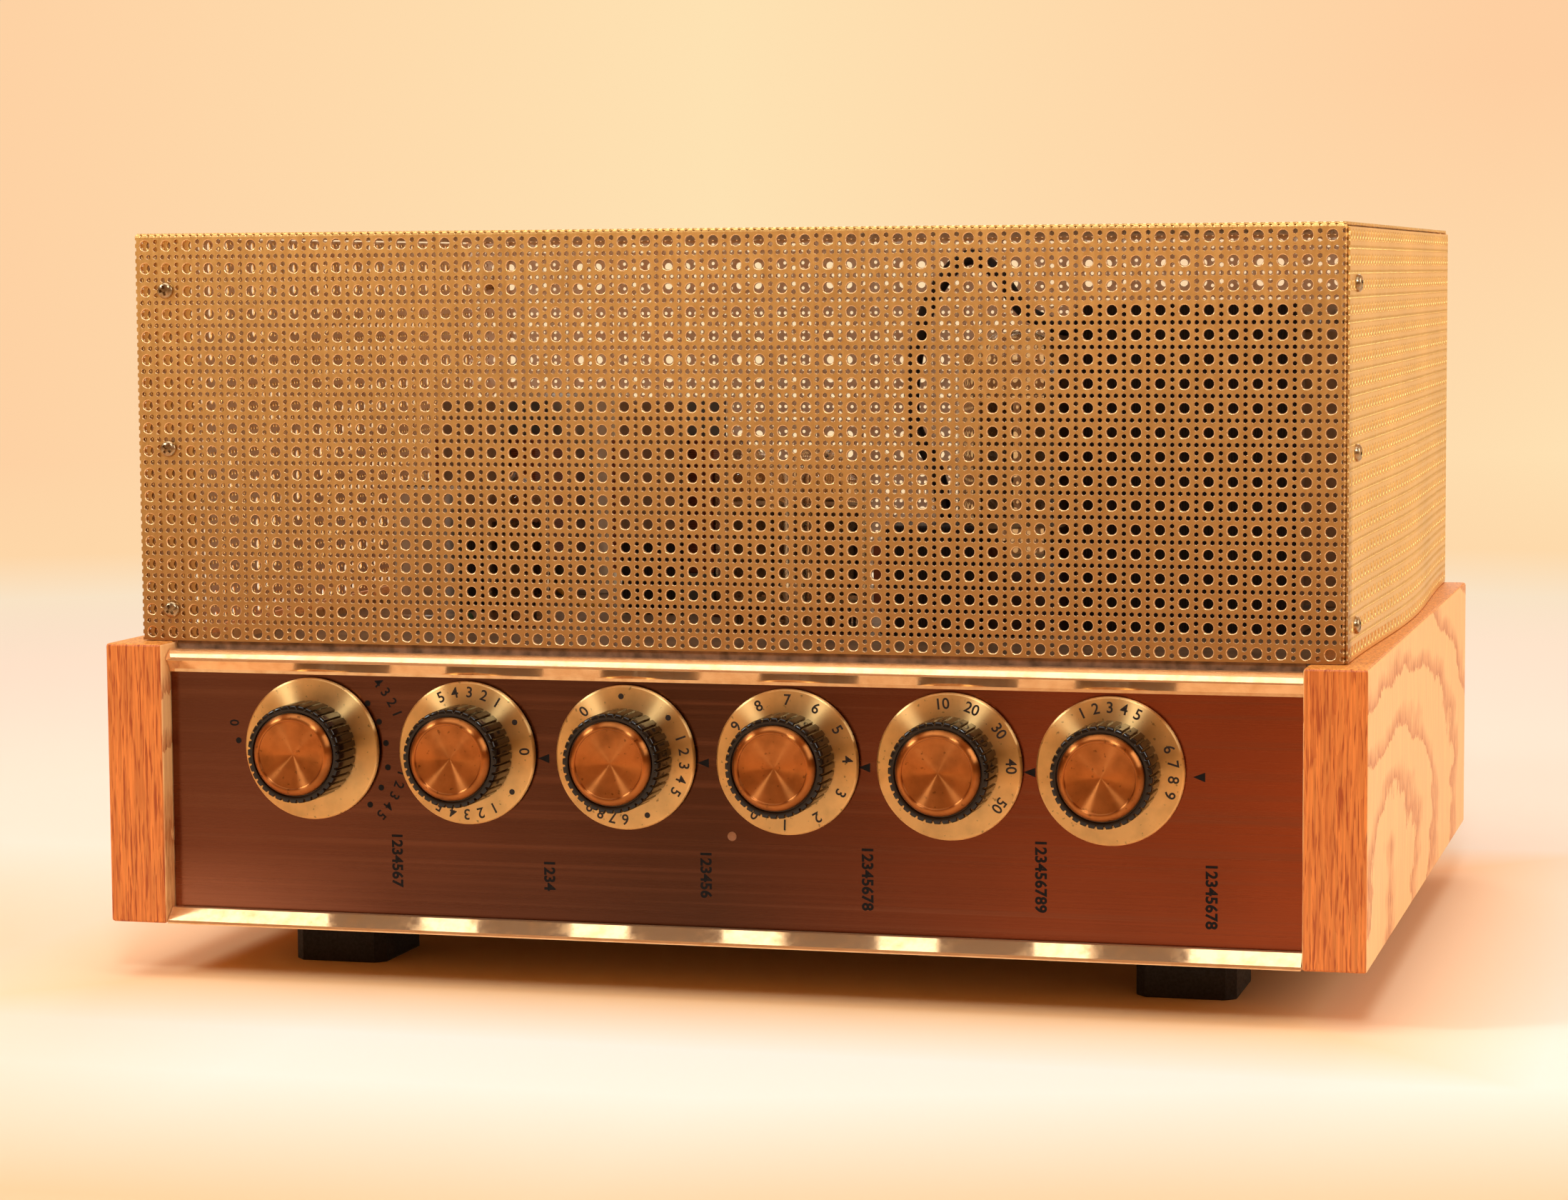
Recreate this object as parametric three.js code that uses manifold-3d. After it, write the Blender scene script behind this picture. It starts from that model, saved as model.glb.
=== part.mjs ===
// Stereo valve amplifier: an oak-sided chassis with six dial controls under a perforated cover.
// Millimetres, +Z up, front towards -Y, origin on the floor under the middle of the whole part.
import * as THREE from 'three';
import { mergeVertices } from 'three/addons/utils/BufferGeometryUtils.js';
import Module from 'manifold-3d';

const wasm = await Module();
wasm.setup();

// Shared clearances
const gap = 0.3; // air between two pieces that touch
const overrun = 3; // how far a cutter passes the face it cuts

// Driving dimensions
const cheek = { thickness: 18, depth: 296, height: 84.2, ground: 17, corner: 1.2 };
const bay = { width: 340.4 }; // clear width between the cheeks
const panel = { recess: 6.4, thickness: 1.5, top_cover: 5.8, foot_cover: 2, bore: 10.2 };
const trim = { setback: 2.7, depth: 6.5, drop: 4.2, rise: 2.3, lip: 0.8, bevel: 2.7, hem: 0.9, wall: 0.8 };
const sill = { setback: 0.4, rise: 3.7, wall: 0.8, return_depth: 9.6 };
const chassis = { wall: 1.2, deck_drop: 3.7, rear_recess: 6, cord_hole: 12 };
const base_plate = { thickness: 1.2, side_inset: 2.5, slot_width: 4, slot_length: 46, slot_columns: 2, slot_rows: 6 };
const foot = { width: 29.4, depth: 34, height: 18, corner: 3, screw_hole: 9, screw_depth: 7 };
const cover = { lap: 10.1, height: 121.7, setback: 9.9, overhang: 1, wall: 1, left_flange: 16, return_flange: 24 };
const mesh_holes = { pitch: 42, diameter: 27.5, margin: 16, sides: 6 };

// Controls, measured outwards from the face of the panel
const knob = { axis_drop: 30.6, standoff: 0.8, recess: 8, recess_depth: 2.4, seat: 0.8, bore_depth: 10 };
const skirt = { radius: 21.1, thickness: 1.6, chamfer: 0.5, bore: 10.8, sides: 30 };
const grip = { radius: 14.5, root: 13.6, flutes: 36, length: 13.8 };
const inlay = { radius: 12.3, rim: 1.4, rim_width: 0.9, sink: 0.35, peak: 0.9, sides: 24 };
const shaft = { radius: 3.175, sides: 10, tail: 4 };
const bushing = { radius: 4.7, bore: 3.6, sides: 12, length: 8.6 };
const pot = { radius: 12, depth: 12, sides: 12, lug_width: 2.4, lug_length: 7, lug_thickness: 0.8, lug_pitch: 5 };

// Pieces on the deck
const mains_core = { height: 102, stack: 68, bulge: 11 };
const output_core = { height: 70, stack: 20, bulge: 8.5 };
const lead = { diameter: 5, sides: 8, steps: 28, rise: 116.6, clearance: 1, entry: 95.2 };
const rectifier = { radius: 18.6, base_radius: 17.2, base: 24, height: 94, pin_radius: 14, pins: 8 };
const power_valve = { radius: 10.5, height: 58, pin_radius: 7.6, pins: 6 };
const signal_valve = { radius: 10.5, height: 50, pin_radius: 7.6, pins: 6 };
const shield = { radius: 11, height: 45.6, wall: 0.8, well: 12 };
const capacitor = { radius: 17.5, height: 71, foot_radius: 19, foot: 2.4, crimp: 1.5, clearance: 7.7 };
const valve_sides = 12;
const socket_clearance = 1.4;

// Back panel of connectors
const board = { width: 150, height: 40, thickness: 1.6, centre_height: 58, window_inset: 5 };
const jack = { radius: 4.1, length: 3.6, pitch: 17, rows: 2, columns: 4, sides: 8 };
const strip = { length: 62, height: 15, depth: 3.4, screw_radius: 2.6, screws: 5 };

// Places, as shares of half the bay's width and of the cheek's depth
const control_shares = [-0.7297, -0.443, -0.1563, 0.1293, 0.4089, 0.6804];
const foot_across_share = 0.7714;
const foot_inset_share = 0.135;
const mains_core_shares = [0.6886, 0.4392];
const output_core_shares = { left: [-0.764, 0.5405], right: [-0.395, 0.5405] };
const rectifier_along_share = 0.4257;
const power_valve_shares = [[-0.106, 0.3885], [0.047, 0.3885], [-0.2115, 0.5574], [-0.0646, 0.5574]];
const signal_valve_shares = [-0.5875, 0.4054];
const shield_shares = [-0.7186, 0.3378];
const capacitor_across_share = -0.7286;
const board_across_share = -0.3;
const cord_hole_across_share = 0.62;
const base_window_share = 0.36;

// Levels and faces that follow from the sizes above
const cheek_top = cheek.ground + cheek.height;
const deck_top = cheek_top - chassis.deck_drop;
const stand = deck_top + gap; // underside of what stands on the deck
const plate_low = foot.height + gap;
const chassis_low = plate_low + base_plate.thickness + gap;
const panel_face = panel.recess;
const panel_back = panel_face + panel.thickness;
const panel_top = cheek_top - panel.top_cover;
const apron_face = panel_back + gap;
const apron_back = apron_face + chassis.wall;
const chassis_back = cheek.depth - chassis.rear_recess;
const half_bay = bay.width / 2;
const half_chassis = half_bay - gap;
const knob_height = cheek_top - knob.axis_drop;
const cover_low = cheek_top + gap;
const cover_top = cover_low + cover.height;
const cover_back = cheek.depth + cover.overhang;
const wall_top = cover_top - cover.wall - gap;
const half_cover = half_bay + cover.lap; // each side of the cover stands on its cheek
const grip_start = knob.standoff + skirt.thickness + gap;
const grip_end = grip_start + grip.length;
const inlay_start = grip_end - knob.seat + gap;
const knob_reach = inlay_start + inlay.rim + inlay.peak - panel_face;
const core_face = mains_core_shares[0] * half_bay - mains_core.stack / 2 - gap;
const lead_reach = gap + rectifier.radius * 2 + lead.clearance + lead.diameter / 2;
const rectifier_shares = [(core_face - gap - rectifier.radius) / half_bay, rectifier_along_share];

// Materials
const material = (color, roughness, metalness = 0) => new THREE.MeshStandardMaterial({ color, roughness, metalness });
const oak = material('#c9874a', 0.55);
const copper_panel = material('#7a4220', 0.3, 0.8);
const gold = material('#d9a658', 0.25, 1);
const gold_mesh = material('#a8763c', 0.45, 0.8);
const black_steel = material('#1b1613', 0.5, 0.6);
const black_rubber = material('#15100e', 0.8);
const black_resin = material('#17110d', 0.25);
const copper = material('#a9673a', 0.3, 1);
const steel = material('#9a948c', 0.4, 1);
const aluminium = material('#b5aca0', 0.35, 1);
const glass = material('#5a4638', 0.1);
const winding_paper = material('#6b3a22', 0.7);
const board_resin = material('#4a2c1a', 0.6);

// Solids
const solid = (geometry) => {
  geometry.deleteAttribute('normal');
  geometry.deleteAttribute('uv');
  const welded = mergeVertices(geometry, 1e-5);
  return new wasm.Manifold(new wasm.Mesh({
    numProp: 3,
    vertProperties: new Float32Array(welded.attributes.position.array),
    triVerts: new Uint32Array(welded.index.array),
  }));
};

const surface = (body) => {
  const { vertProperties, triVerts } = body.getMesh();
  const geometry = new THREE.BufferGeometry();
  geometry.setAttribute('position', new THREE.BufferAttribute(vertProperties, 3));
  geometry.setIndex(new THREE.BufferAttribute(triVerts, 1));
  return geometry;
};

const block = ([x0, x1], [y0, y1], [z0, z1]) => {
  const geometry = new THREE.BoxGeometry(x1 - x0, y1 - y0, z1 - z0);
  geometry.translate((x0 + x1) / 2, (y0 + y1) / 2, (z0 + z1) / 2);
  return solid(geometry);
};

// A cylinder along X, Y or Z from start to end on that axis
const rod = (axis, radius, start, end, sides, [x, y, z] = [0, 0, 0]) => {
  const geometry = new THREE.CylinderGeometry(radius, radius, end - start, sides);
  geometry.rotateY(Math.PI / sides);
  geometry.translate(0, (start + end) / 2, 0);
  if (axis === 'x') geometry.rotateZ(-Math.PI / 2);
  if (axis === 'z') geometry.rotateX(Math.PI / 2);
  geometry.translate(x, y, z);
  return solid(geometry);
};

// A profile of (radius, distance) points turned about the axis: upright, or pointing out of the panel
const turned = (points, sides, outwards = false) => {
  const outline = points.map(([radius, along]) => new THREE.Vector2(radius, along));
  const geometry = new THREE.LatheGeometry(outline, sides);
  geometry.rotateX(outwards ? Math.PI : Math.PI / 2);
  return solid(geometry);
};

const outline_shape = (points) => new THREE.Shape(points.map(([a, b]) => new THREE.Vector2(a, b)));

// A (y, z) outline drawn out along X, centred on the middle of the part
const section = (points, width) => {
  const geometry = new THREE.ExtrudeGeometry(outline_shape(points), { depth: width, bevelEnabled: false });
  geometry.translate(0, 0, -width / 2);
  const [right, back, up] = [[1, 0, 0], [0, 1, 0], [0, 0, 1]].map((axis) => new THREE.Vector3(...axis));
  geometry.applyMatrix4(new THREE.Matrix4().makeBasis(back, up, right));
  return solid(geometry);
};

const joined = (bodies) => wasm.Manifold.union(bodies);

const piece = (name, body, look) => {
  const mesh = new THREE.Mesh(surface(body), look);
  mesh.name = name;
  return mesh;
};

const deck_place = ([across_share, along_share]) => [across_share * half_bay, along_share * cheek.depth];

// Oak side cheek: a board with its long edges eased
function cheek_board() {
  const { thickness, depth, height, corner } = cheek;
  const outline = [
    [corner, 0], [depth - corner, 0], [depth, corner], [depth, height - corner],
    [depth - corner, height], [corner, height], [0, height - corner], [0, corner],
  ];
  const narrow = section(outline, thickness);
  const long_bevel = section([[0, corner], [corner, 0], [depth - corner, 0], [depth, corner], [depth, height - corner],
    [depth - corner, height], [corner, height], [0, height - corner]], thickness);
  return narrow.intersect(long_bevel).translate([0, 0, cheek.ground]);
}

// Control panel with a row of holes for the control bushings
function front_panel() {
  const plate = block([-half_chassis, half_chassis], [panel_face, panel_back],
    [cheek.ground + panel.foot_cover, panel_top]);
  return plate.subtract(joined(control_bores(panel.bore / 2)));
}

function control_bores(radius) {
  return control_shares.map((share) => rod('y', radius, panel_face - overrun, apron_back + overrun,
    bushing.sides, [share * half_bay, 0, knob_height]));
}

// Polished strip above the panel: a flat top, a thin lip and a bevel down to the panel
function top_trim() {
  const front = trim.setback;
  const back = front + trim.depth;
  const lip_top = cheek_top - trim.drop;
  const lip_low = lip_top - trim.lip;
  const bevel_low = lip_low - trim.bevel;
  const inner = panel_face - gap;
  return section([
    [back, lip_top + trim.rise], [front, lip_top], [front, lip_low], [inner - trim.wall, bevel_low],
    [inner - trim.wall, bevel_low - trim.hem], [inner, bevel_low - trim.hem], [inner, panel_top + gap + gap],
    [panel_back, deck_top + gap], [back, deck_top + gap],
  ].reverse(), 2 * half_chassis);
}

// Polished sill below the panel, folded back under the chassis
function bottom_trim() {
  const { setback, rise, wall, return_depth } = sill;
  const floor = cheek.ground;
  const inner = panel_face - gap;
  const skin = wall * (1 + rise / (rise + inner));
  return section([
    [inner, floor + wall + rise], [setback, floor + wall], [setback, floor], [setback + return_depth, floor],
    [setback + return_depth, floor + wall], [setback + skin * (inner - setback) / rise, floor + wall],
    [inner, floor + wall + rise - skin],
  ].reverse(), 2 * half_chassis);
}

// Folded steel pan, open below, with holes for controls, valve sockets, connectors and the mains cord
function chassis_pan() {
  const { wall } = chassis;
  const shell = block([-half_chassis, half_chassis], [apron_face, chassis_back], [chassis_low, deck_top]);
  const inside = block([-half_chassis + wall, half_chassis - wall], [apron_back, chassis_back - wall],
    [chassis_low - overrun, deck_top - wall]);
  const socket = (radius, place) => rod('z', radius + socket_clearance, deck_top - wall - overrun,
    deck_top + overrun, valve_sides, [...deck_place(place), 0]);
  const sockets = [
    socket(rectifier.pin_radius, rectifier_shares),
    ...power_valve_shares.map((place) => socket(power_valve.pin_radius, place)),
    socket(signal_valve.pin_radius, signal_valve_shares),
    socket(signal_valve.pin_radius, shield_shares),
  ];
  const board_x = board_across_share * half_bay;
  const half_window = board.width / 2 - board.window_inset;
  const half_rise = board.height / 2 - board.window_inset;
  const back_span = [chassis_back - wall - overrun, chassis_back + overrun];
  const window = block([board_x - half_window, board_x + half_window], back_span,
    [board.centre_height - half_rise, board.centre_height + half_rise]);
  const cord_hole = rod('y', chassis.cord_hole / 2, ...back_span, valve_sides,
    [cord_hole_across_share * half_bay, 0, board.centre_height]);
  return shell.subtract(joined([inside, window, cord_hole, ...sockets, ...control_bores(panel.bore / 2)]));
}

// Cover plate below the chassis, with two banks of cooling slots
function bottom_plate() {
  const half = half_chassis - base_plate.side_inset;
  const span = [sill.setback + sill.return_depth + gap, chassis_back];
  const plate = block([-half, half], span, [plate_low, plate_low + base_plate.thickness]);
  const slots = [];
  const reach = (span[1] - span[0]) * base_window_share;
  for (let column = 0; column < base_plate.slot_columns; column += 1) {
    for (let row = 0; row < base_plate.slot_rows; row += 1) {
      const x = (column - (base_plate.slot_columns - 1) / 2) * half * base_window_share * 2;
      const y = (span[0] + span[1]) / 2 + (row / (base_plate.slot_rows - 1) - 0.5) * reach;
      slots.push(block([x - base_plate.slot_length / 2, x + base_plate.slot_length / 2],
        [y - base_plate.slot_width / 2, y + base_plate.slot_width / 2],
        [plate_low - overrun, plate_low + base_plate.thickness + overrun]));
    }
  }
  return plate.subtract(joined(slots));
}

// Rubber foot: a block with cut corners, screwed up through a counterbore
function foot_block() {
  const [a, b, c] = [foot.width / 2, foot.depth / 2, foot.corner];
  const shape = outline_shape([[c - a, -b], [a - c, -b], [a, c - b], [a, b - c], [a - c, b], [c - a, b],
    [-a, b - c], [-a, c - b]]);
  const body = solid(new THREE.ExtrudeGeometry(shape, { depth: foot.height, bevelEnabled: false }));
  return body.subtract(rod('z', foot.screw_hole / 2, -overrun, foot.screw_depth, valve_sides));
}

// Rows of holes through a flat sheet; toward is the axis that the holes run along
function punched(sheet, toward, [u0, u1], [v0, v1], level) {
  const { pitch, diameter, margin, sides } = mesh_holes;
  const count = (low, high) => Math.floor((high - low - 2 * margin) / pitch) + 1;
  const cutters = [];
  for (let i = 0; i < count(u0, u1); i += 1) {
    for (let j = 0; j < count(v0, v1); j += 1) {
      const u = (u0 + u1) / 2 + (i - (count(u0, u1) - 1) / 2) * pitch;
      const v = (v0 + v1) / 2 + (j - (count(v0, v1) - 1) / 2) * pitch;
      const place = { x: [0, u, v], y: [u, 0, v], z: [u, v, 0] }[toward];
      cutters.push(rod(toward, diameter / 2, level - overrun, level + overrun, sides, place));
    }
  }
  return sheet.subtract(joined(cutters));
}

// Perforated cover: five sheets, joined by flanges folded behind their neighbours
function cover_sheets() {
  const { wall, setback: face, left_flange, return_flange } = cover;
  const rise = [cover_low, wall_top];
  const across = [-half_cover, half_cover];
  const along = [face, cover_back];
  const folded = (outline) => {
    const geometry = new THREE.ExtrudeGeometry(outline_shape(outline), { depth: rise[1] - rise[0], bevelEnabled: false });
    geometry.translate(0, 0, rise[0]);
    return solid(geometry);
  };
  const front_right = half_cover - wall - gap;
  const return_end = face + wall + return_flange;
  const front = folded([[-half_cover, face], [front_right, face], [front_right, return_end],
    [front_right - wall, return_end], [front_right - wall, face + wall], [-half_cover, face + wall]]);
  const inside_front = face + wall + gap;
  const inside_back = cover_back - wall - gap;
  const left = folded([
    [-half_cover, inside_front], [left_flange - half_cover, inside_front],
    [left_flange - half_cover, inside_front + wall], [wall - half_cover, inside_front + wall],
    [wall - half_cover, inside_back - wall], [left_flange - half_cover, inside_back - wall],
    [left_flange - half_cover, inside_back], [-half_cover, inside_back],
  ]);
  const right = folded([
    [half_cover, face], [half_cover, inside_back], [half_cover - left_flange, inside_back],
    [half_cover - left_flange, inside_back - wall], [half_cover - wall, inside_back - wall], [half_cover - wall, face],
  ]);
  const back = block(across, [cover_back - wall, cover_back], rise);
  const top = block(across, along, [cover_top - wall, cover_top]);
  return {
    front: punched(front, 'y', across, rise, face),
    left: punched(left, 'x', along, rise, -half_cover),
    right: punched(right, 'x', along, rise, half_cover),
    back: punched(back, 'y', across, rise, cover_back),
    top: punched(top, 'z', across, along, cover_top),
  };
}

// Spun skirt disc, chamfered at the rim and bored for the boss of the grip
function skirt_disc() {
  const { radius, thickness, chamfer, bore, sides } = skirt;
  const start = knob.standoff;
  return turned([[bore, start], [radius, start], [radius, start + thickness - chamfer],
    [radius - chamfer, start + thickness], [bore, start + thickness], [bore, start]], sides, true);
}

// Fluted grip with a boss through the skirt, hollowed for the bushing and bored for the shaft
function fluted_grip() {
  const step = (2 * Math.PI) / grip.flutes;
  const outline = [];
  for (let i = 0; i < grip.flutes; i += 1) {
    for (const [angle_share, radius] of [[-0.25, grip.radius], [0.25, grip.root]]) {
      const angle = (i + angle_share) * step;
      outline.push([radius * Math.cos(angle), radius * Math.sin(angle)]);
    }
  }
  const ribs = new THREE.ExtrudeGeometry(outline_shape(outline), { depth: grip.length, bevelEnabled: false });
  ribs.rotateX(Math.PI / 2);
  ribs.translate(0, -grip_start, 0);
  const outer = (radius, start, end, sides) => rod('y', radius, -end, -start, sides);
  const boss = outer(skirt.bore - gap, knob.standoff, grip_start + overrun, valve_sides);
  const cuts = joined([
    outer(knob.recess, -overrun, knob.standoff + knob.recess_depth, valve_sides),
    outer(shaft.radius + gap, -overrun, knob.bore_depth + gap, valve_sides),
    outer(inlay.radius + gap, grip_end - knob.seat, grip_end + overrun, inlay.sides),
  ]);
  return solid(ribs).add(boss).subtract(cuts);
}

// Inlay disc: a rim, a narrow step and a shallow cone
function inlay_disc() {
  const { radius, rim, rim_width, sink, peak, sides } = inlay;
  const top = inlay_start + rim;
  return turned([[0, inlay_start], [radius, inlay_start], [radius, top], [radius - rim_width, top],
    [radius - rim_width, top - sink], [0, top + peak]], sides, true);
}

function control_shaft() {
  return rod('y', shaft.radius, -knob.bore_depth, apron_back - panel_face + gap + shaft.tail, shaft.sides);
}

// Control behind the apron: a round can, a threaded bushing through the panel and three lugs
function control_can() {
  const start = apron_back - panel_face + gap;
  const can = rod('y', pot.radius, start, start + pot.depth, pot.sides);
  const collar = rod('y', bushing.radius, start + overrun - bushing.length, start + overrun, bushing.sides);
  const lug_middle = start + pot.depth / 2;
  const lugs = [-1, 0, 1].map((place) => block(
    [place * pot.lug_pitch - pot.lug_width / 2, place * pot.lug_pitch + pot.lug_width / 2],
    [lug_middle, lug_middle + pot.lug_thickness],
    [-pot.radius - pot.lug_length, -pot.radius / 2],
  ));
  const bore = rod('y', bushing.bore, -knob.bore_depth, start + shaft.tail + gap, bushing.sides);
  return joined([can, collar, ...lugs]).subtract(bore);
}

// Laminations are 3 c high and 2.5 c deep
const core_depth = ({ height }) => (2.5 * height) / 3;

// Shell-type core of height 3 c, with a centre limb c high and the winding round it, along Y
function transformer({ height, stack, bulge }) {
  const c = height / 3;
  const [half_stack, depth, window_depth] = [stack / 2, core_depth({ height }), 1.5 * c];
  const slot = [(depth - window_depth) / 2, (depth + window_depth) / 2];
  const middle = height / 2;
  const through = [-half_stack - overrun, half_stack + overrun];
  const core = block([-half_stack, half_stack], [0, depth], [0, height]).subtract(joined([
    block(through, slot, [middle - c, middle - c / 2]),
    block(through, slot, [middle + c / 2, middle + c]),
  ]));
  const coil_span = [slot[0] + gap, slot[1] - gap];
  const outside = half_stack + bulge;
  const coil = block([-outside, outside], coil_span, [middle - c + gap, middle + c - gap]).subtract(
    block([-half_stack - gap, half_stack + gap], slot, [middle - c / 2 - gap, middle + c / 2 + gap]),
  );
  return { core, coil, depth };
}

// The winding of an output transformer touches its core, so the two are one solid
function output_transformer() {
  const { height, stack, bulge } = output_core;
  const c = height / 3;
  const core = block([-stack / 2, stack / 2], [0, core_depth(output_core)], [0, height]);
  const coil = block([-stack / 2 - bulge, stack / 2 + bulge], [c / 2, 2 * c], [c / 2, height - c / 2]);
  return core.add(coil);
}

// Lead that arches over the rectifier from the deck into the mains transformer
function arched_lead() {
  const radius = lead.diameter / 2;
  const [rise, reach] = [lead.rise, lead_reach];
  const straight = lead.diameter;
  const route = [
    [0, 0], [0, straight], [-0.06 * reach, 0.39 * rise], [-0.27 * reach, 0.56 * rise], [-0.25 * reach, 0.74 * rise],
    [-0.11 * reach, 0.9 * rise], [0.14 * reach, rise], [0.36 * reach, 0.97 * rise], [0.6 * reach, 0.86 * rise],
    [reach - straight, lead.entry], [reach, lead.entry],
  ].map(([x, z]) => new THREE.Vector3(x, 0, z));
  const sides = [];
  for (let i = 0; i < lead.sides; i += 1) {
    const angle = (i * 2 * Math.PI) / lead.sides;
    sides.push([radius * Math.cos(angle), radius * Math.sin(angle)]);
  }
  const path = new THREE.CatmullRomCurve3(route, false, 'centripetal');
  return solid(new THREE.ExtrudeGeometry(outline_shape(sides), { steps: lead.steps, extrudePath: path, bevelEnabled: false }));
}

// Miniature valve: a domed bulb drawn to a tip, on a button that drops into its socket
function miniature_valve({ radius, height, pin_radius, pins }) {
  return turned([[0, -pins], [pin_radius, -pins], [pin_radius, 0], [radius, 0], [radius, height - radius],
    [radius * 0.8, height - radius * 0.45], [radius * 0.3, height - radius * 0.2], [radius * 0.15, height], [0, height]],
  valve_sides);
}

// Rectifier valve: a straight bulb with a domed end on a moulded base
function rectifier_valve() {
  const { radius, base_radius, base, height, pin_radius, pins } = rectifier;
  return turned([[0, -pins], [pin_radius, -pins], [pin_radius, 0], [base_radius, 0], [base_radius, base],
    [radius * 0.86, base], [radius, base + radius * 0.4], [radius, height - radius * 0.55],
    [radius * 0.75, height - radius * 0.14], [0, height]], valve_sides);
}

// Valve in a screening can, seen through the open top of the can
function shielded_valve() {
  const { radius, height, wall, well } = shield;
  const { pin_radius, pins } = signal_valve;
  return turned([[0, -pins], [pin_radius, -pins], [pin_radius, 0], [radius, 0], [radius, height],
    [radius - wall, height], [radius - wall, height - well], [0, height - well]], valve_sides);
}

function can_capacitor() {
  const { radius, height, foot_radius, foot: flange, crimp } = capacitor;
  return turned([[0, 0], [foot_radius, 0], [foot_radius, flange], [radius, flange], [radius, height],
    [radius - crimp, height], [radius - crimp, height - crimp], [0, height - crimp]], valve_sides);
}

// Connector board: jacks in two rows, and a strip of screw terminals beside them
function connector_board() {
  const [half, rise] = [board.width / 2, board.height / 2];
  const face = chassis_back + gap;
  const outside = face + board.thickness;
  const plate = block([-half, half], [face, outside], [-rise, rise]);
  const bank = jack.pitch * (jack.columns - 1);
  const jacks = [];
  for (let column = 0; column < jack.columns; column += 1) {
    for (let row = 0; row < jack.rows; row += 1) {
      const place = [half - jack.pitch / 2 - bank + column * jack.pitch, 0, (row - (jack.rows - 1) / 2) * jack.pitch];
      jacks.push(rod('y', jack.radius, face, outside + jack.length, jack.sides, place));
    }
  }
  const strip_start = -half + board.window_inset;
  const bar = block([strip_start, strip_start + strip.length], [face, outside + strip.depth / 2],
    [-strip.height / 2, strip.height / 2]);
  const screws = [];
  for (let i = 0; i < strip.screws; i += 1) {
    const x = strip_start + (strip.length * (i + 0.5)) / strip.screws;
    screws.push(rod('y', strip.screw_radius, face, outside + strip.depth, jack.sides, [x, 0, 0]));
  }
  return joined([plate, bar, ...jacks, ...screws]);
}

const amplifier = new THREE.Group();
amplifier.position.y = (knob_reach - cover_back) / 2;

// Case
const right_cheek = piece('right_cheek', cheek_board(), oak);
const left_cheek = piece('left_cheek', cheek_board(), oak);
right_cheek.position.x = half_bay + cheek.thickness / 2;
left_cheek.position.x = -right_cheek.position.x;
amplifier.add(left_cheek, right_cheek);
amplifier.add(piece('front_panel', front_panel(), copper_panel));
amplifier.add(piece('top_trim', top_trim(), gold));
amplifier.add(piece('bottom_trim', bottom_trim(), gold));
amplifier.add(piece('chassis', chassis_pan(), black_steel));
amplifier.add(piece('bottom_plate', bottom_plate(), black_steel));

const foot_places = { front_left: [-1, 0], front_right: [1, 0], rear_left: [-1, 1], rear_right: [1, 1] };
for (const [corner, [side, rear]] of Object.entries(foot_places)) {
  const rubber = piece(`foot_${corner}`, foot_block(), black_rubber);
  const inset = foot_inset_share * cheek.depth + foot.depth / 2;
  rubber.position.set(side * foot_across_share * half_bay, rear ? cheek.depth - inset : inset, 0);
  amplifier.add(rubber);
}

for (const [side, sheet] of Object.entries(cover_sheets())) amplifier.add(piece(`cover_${side}`, sheet, gold_mesh));

// Controls, from left to right
const control_names = ['balance', 'bass', 'treble', 'loudness', 'equaliser', 'mode'];
control_names.forEach((name, index) => {
  const control = new THREE.Group();
  control.position.set(control_shares[index] * half_bay, panel_face, knob_height);
  control.add(piece(`${name}_skirt`, skirt_disc(), gold));
  control.add(piece(`${name}_grip`, fluted_grip(), black_resin));
  control.add(piece(`${name}_inlay`, inlay_disc(), copper));
  control.add(piece(`${name}_shaft`, control_shaft(), steel));
  control.add(piece(`${name}_control`, control_can(), steel));
  amplifier.add(control);
});

// Pieces on the deck
const on_deck = (name, body, look, place) => {
  const mesh = piece(name, body, look);
  mesh.position.set(...deck_place(place), stand);
  amplifier.add(mesh);
};
const mains = transformer(mains_core);
on_deck('mains_transformer_core', mains.core, black_steel, mains_core_shares);
on_deck('mains_transformer_winding', mains.coil, winding_paper, mains_core_shares);
on_deck('output_transformer_left', output_transformer(), black_steel, output_core_shares.left);
on_deck('output_transformer_right', output_transformer(), black_steel, output_core_shares.right);
on_deck('rectifier_valve', rectifier_valve(), glass, rectifier_shares);
power_valve_shares.forEach((place, index) => {
  on_deck(`power_valve_${index + 1}`, miniature_valve(power_valve), glass, place);
});
on_deck('signal_valve', miniature_valve(signal_valve), glass, signal_valve_shares);
on_deck('shielded_valve', shielded_valve(), aluminium, shield_shares);
const behind_core = core_depth(output_core) + capacitor.clearance + capacitor.foot_radius;
const capacitor_along_share = output_core_shares.left[1] + behind_core / cheek.depth;
on_deck('can_capacitor', can_capacitor(), aluminium, [capacitor_across_share, capacitor_along_share]);

const mains_lead = piece('mains_lead', arched_lead(), black_rubber);
mains_lead.position.set(core_face - lead_reach, rectifier_shares[1] * cheek.depth, stand);
amplifier.add(mains_lead);

const connectors = piece('connector_board', connector_board(), board_resin);
connectors.position.set(board_across_share * half_bay, 0, board.centre_height);
amplifier.add(connectors);

export default amplifier;
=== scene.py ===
"""Looks of a stereo valve amplifier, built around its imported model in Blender 4.5.

The amplifier has oak cheeks, a brushed metal panel with six dial controls, and a cover of
perforated sheet over valves and transformers. The file is laid out as an add-on and run as a script.
"""
import math

import bmesh
import bpy
import numpy as np
from bpy.props import FloatProperty, FloatVectorProperty, IntProperty, PointerProperty
from mathutils import Euler, Matrix, Vector
from mathutils.geometry import delaunay_2d_cdt


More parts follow.
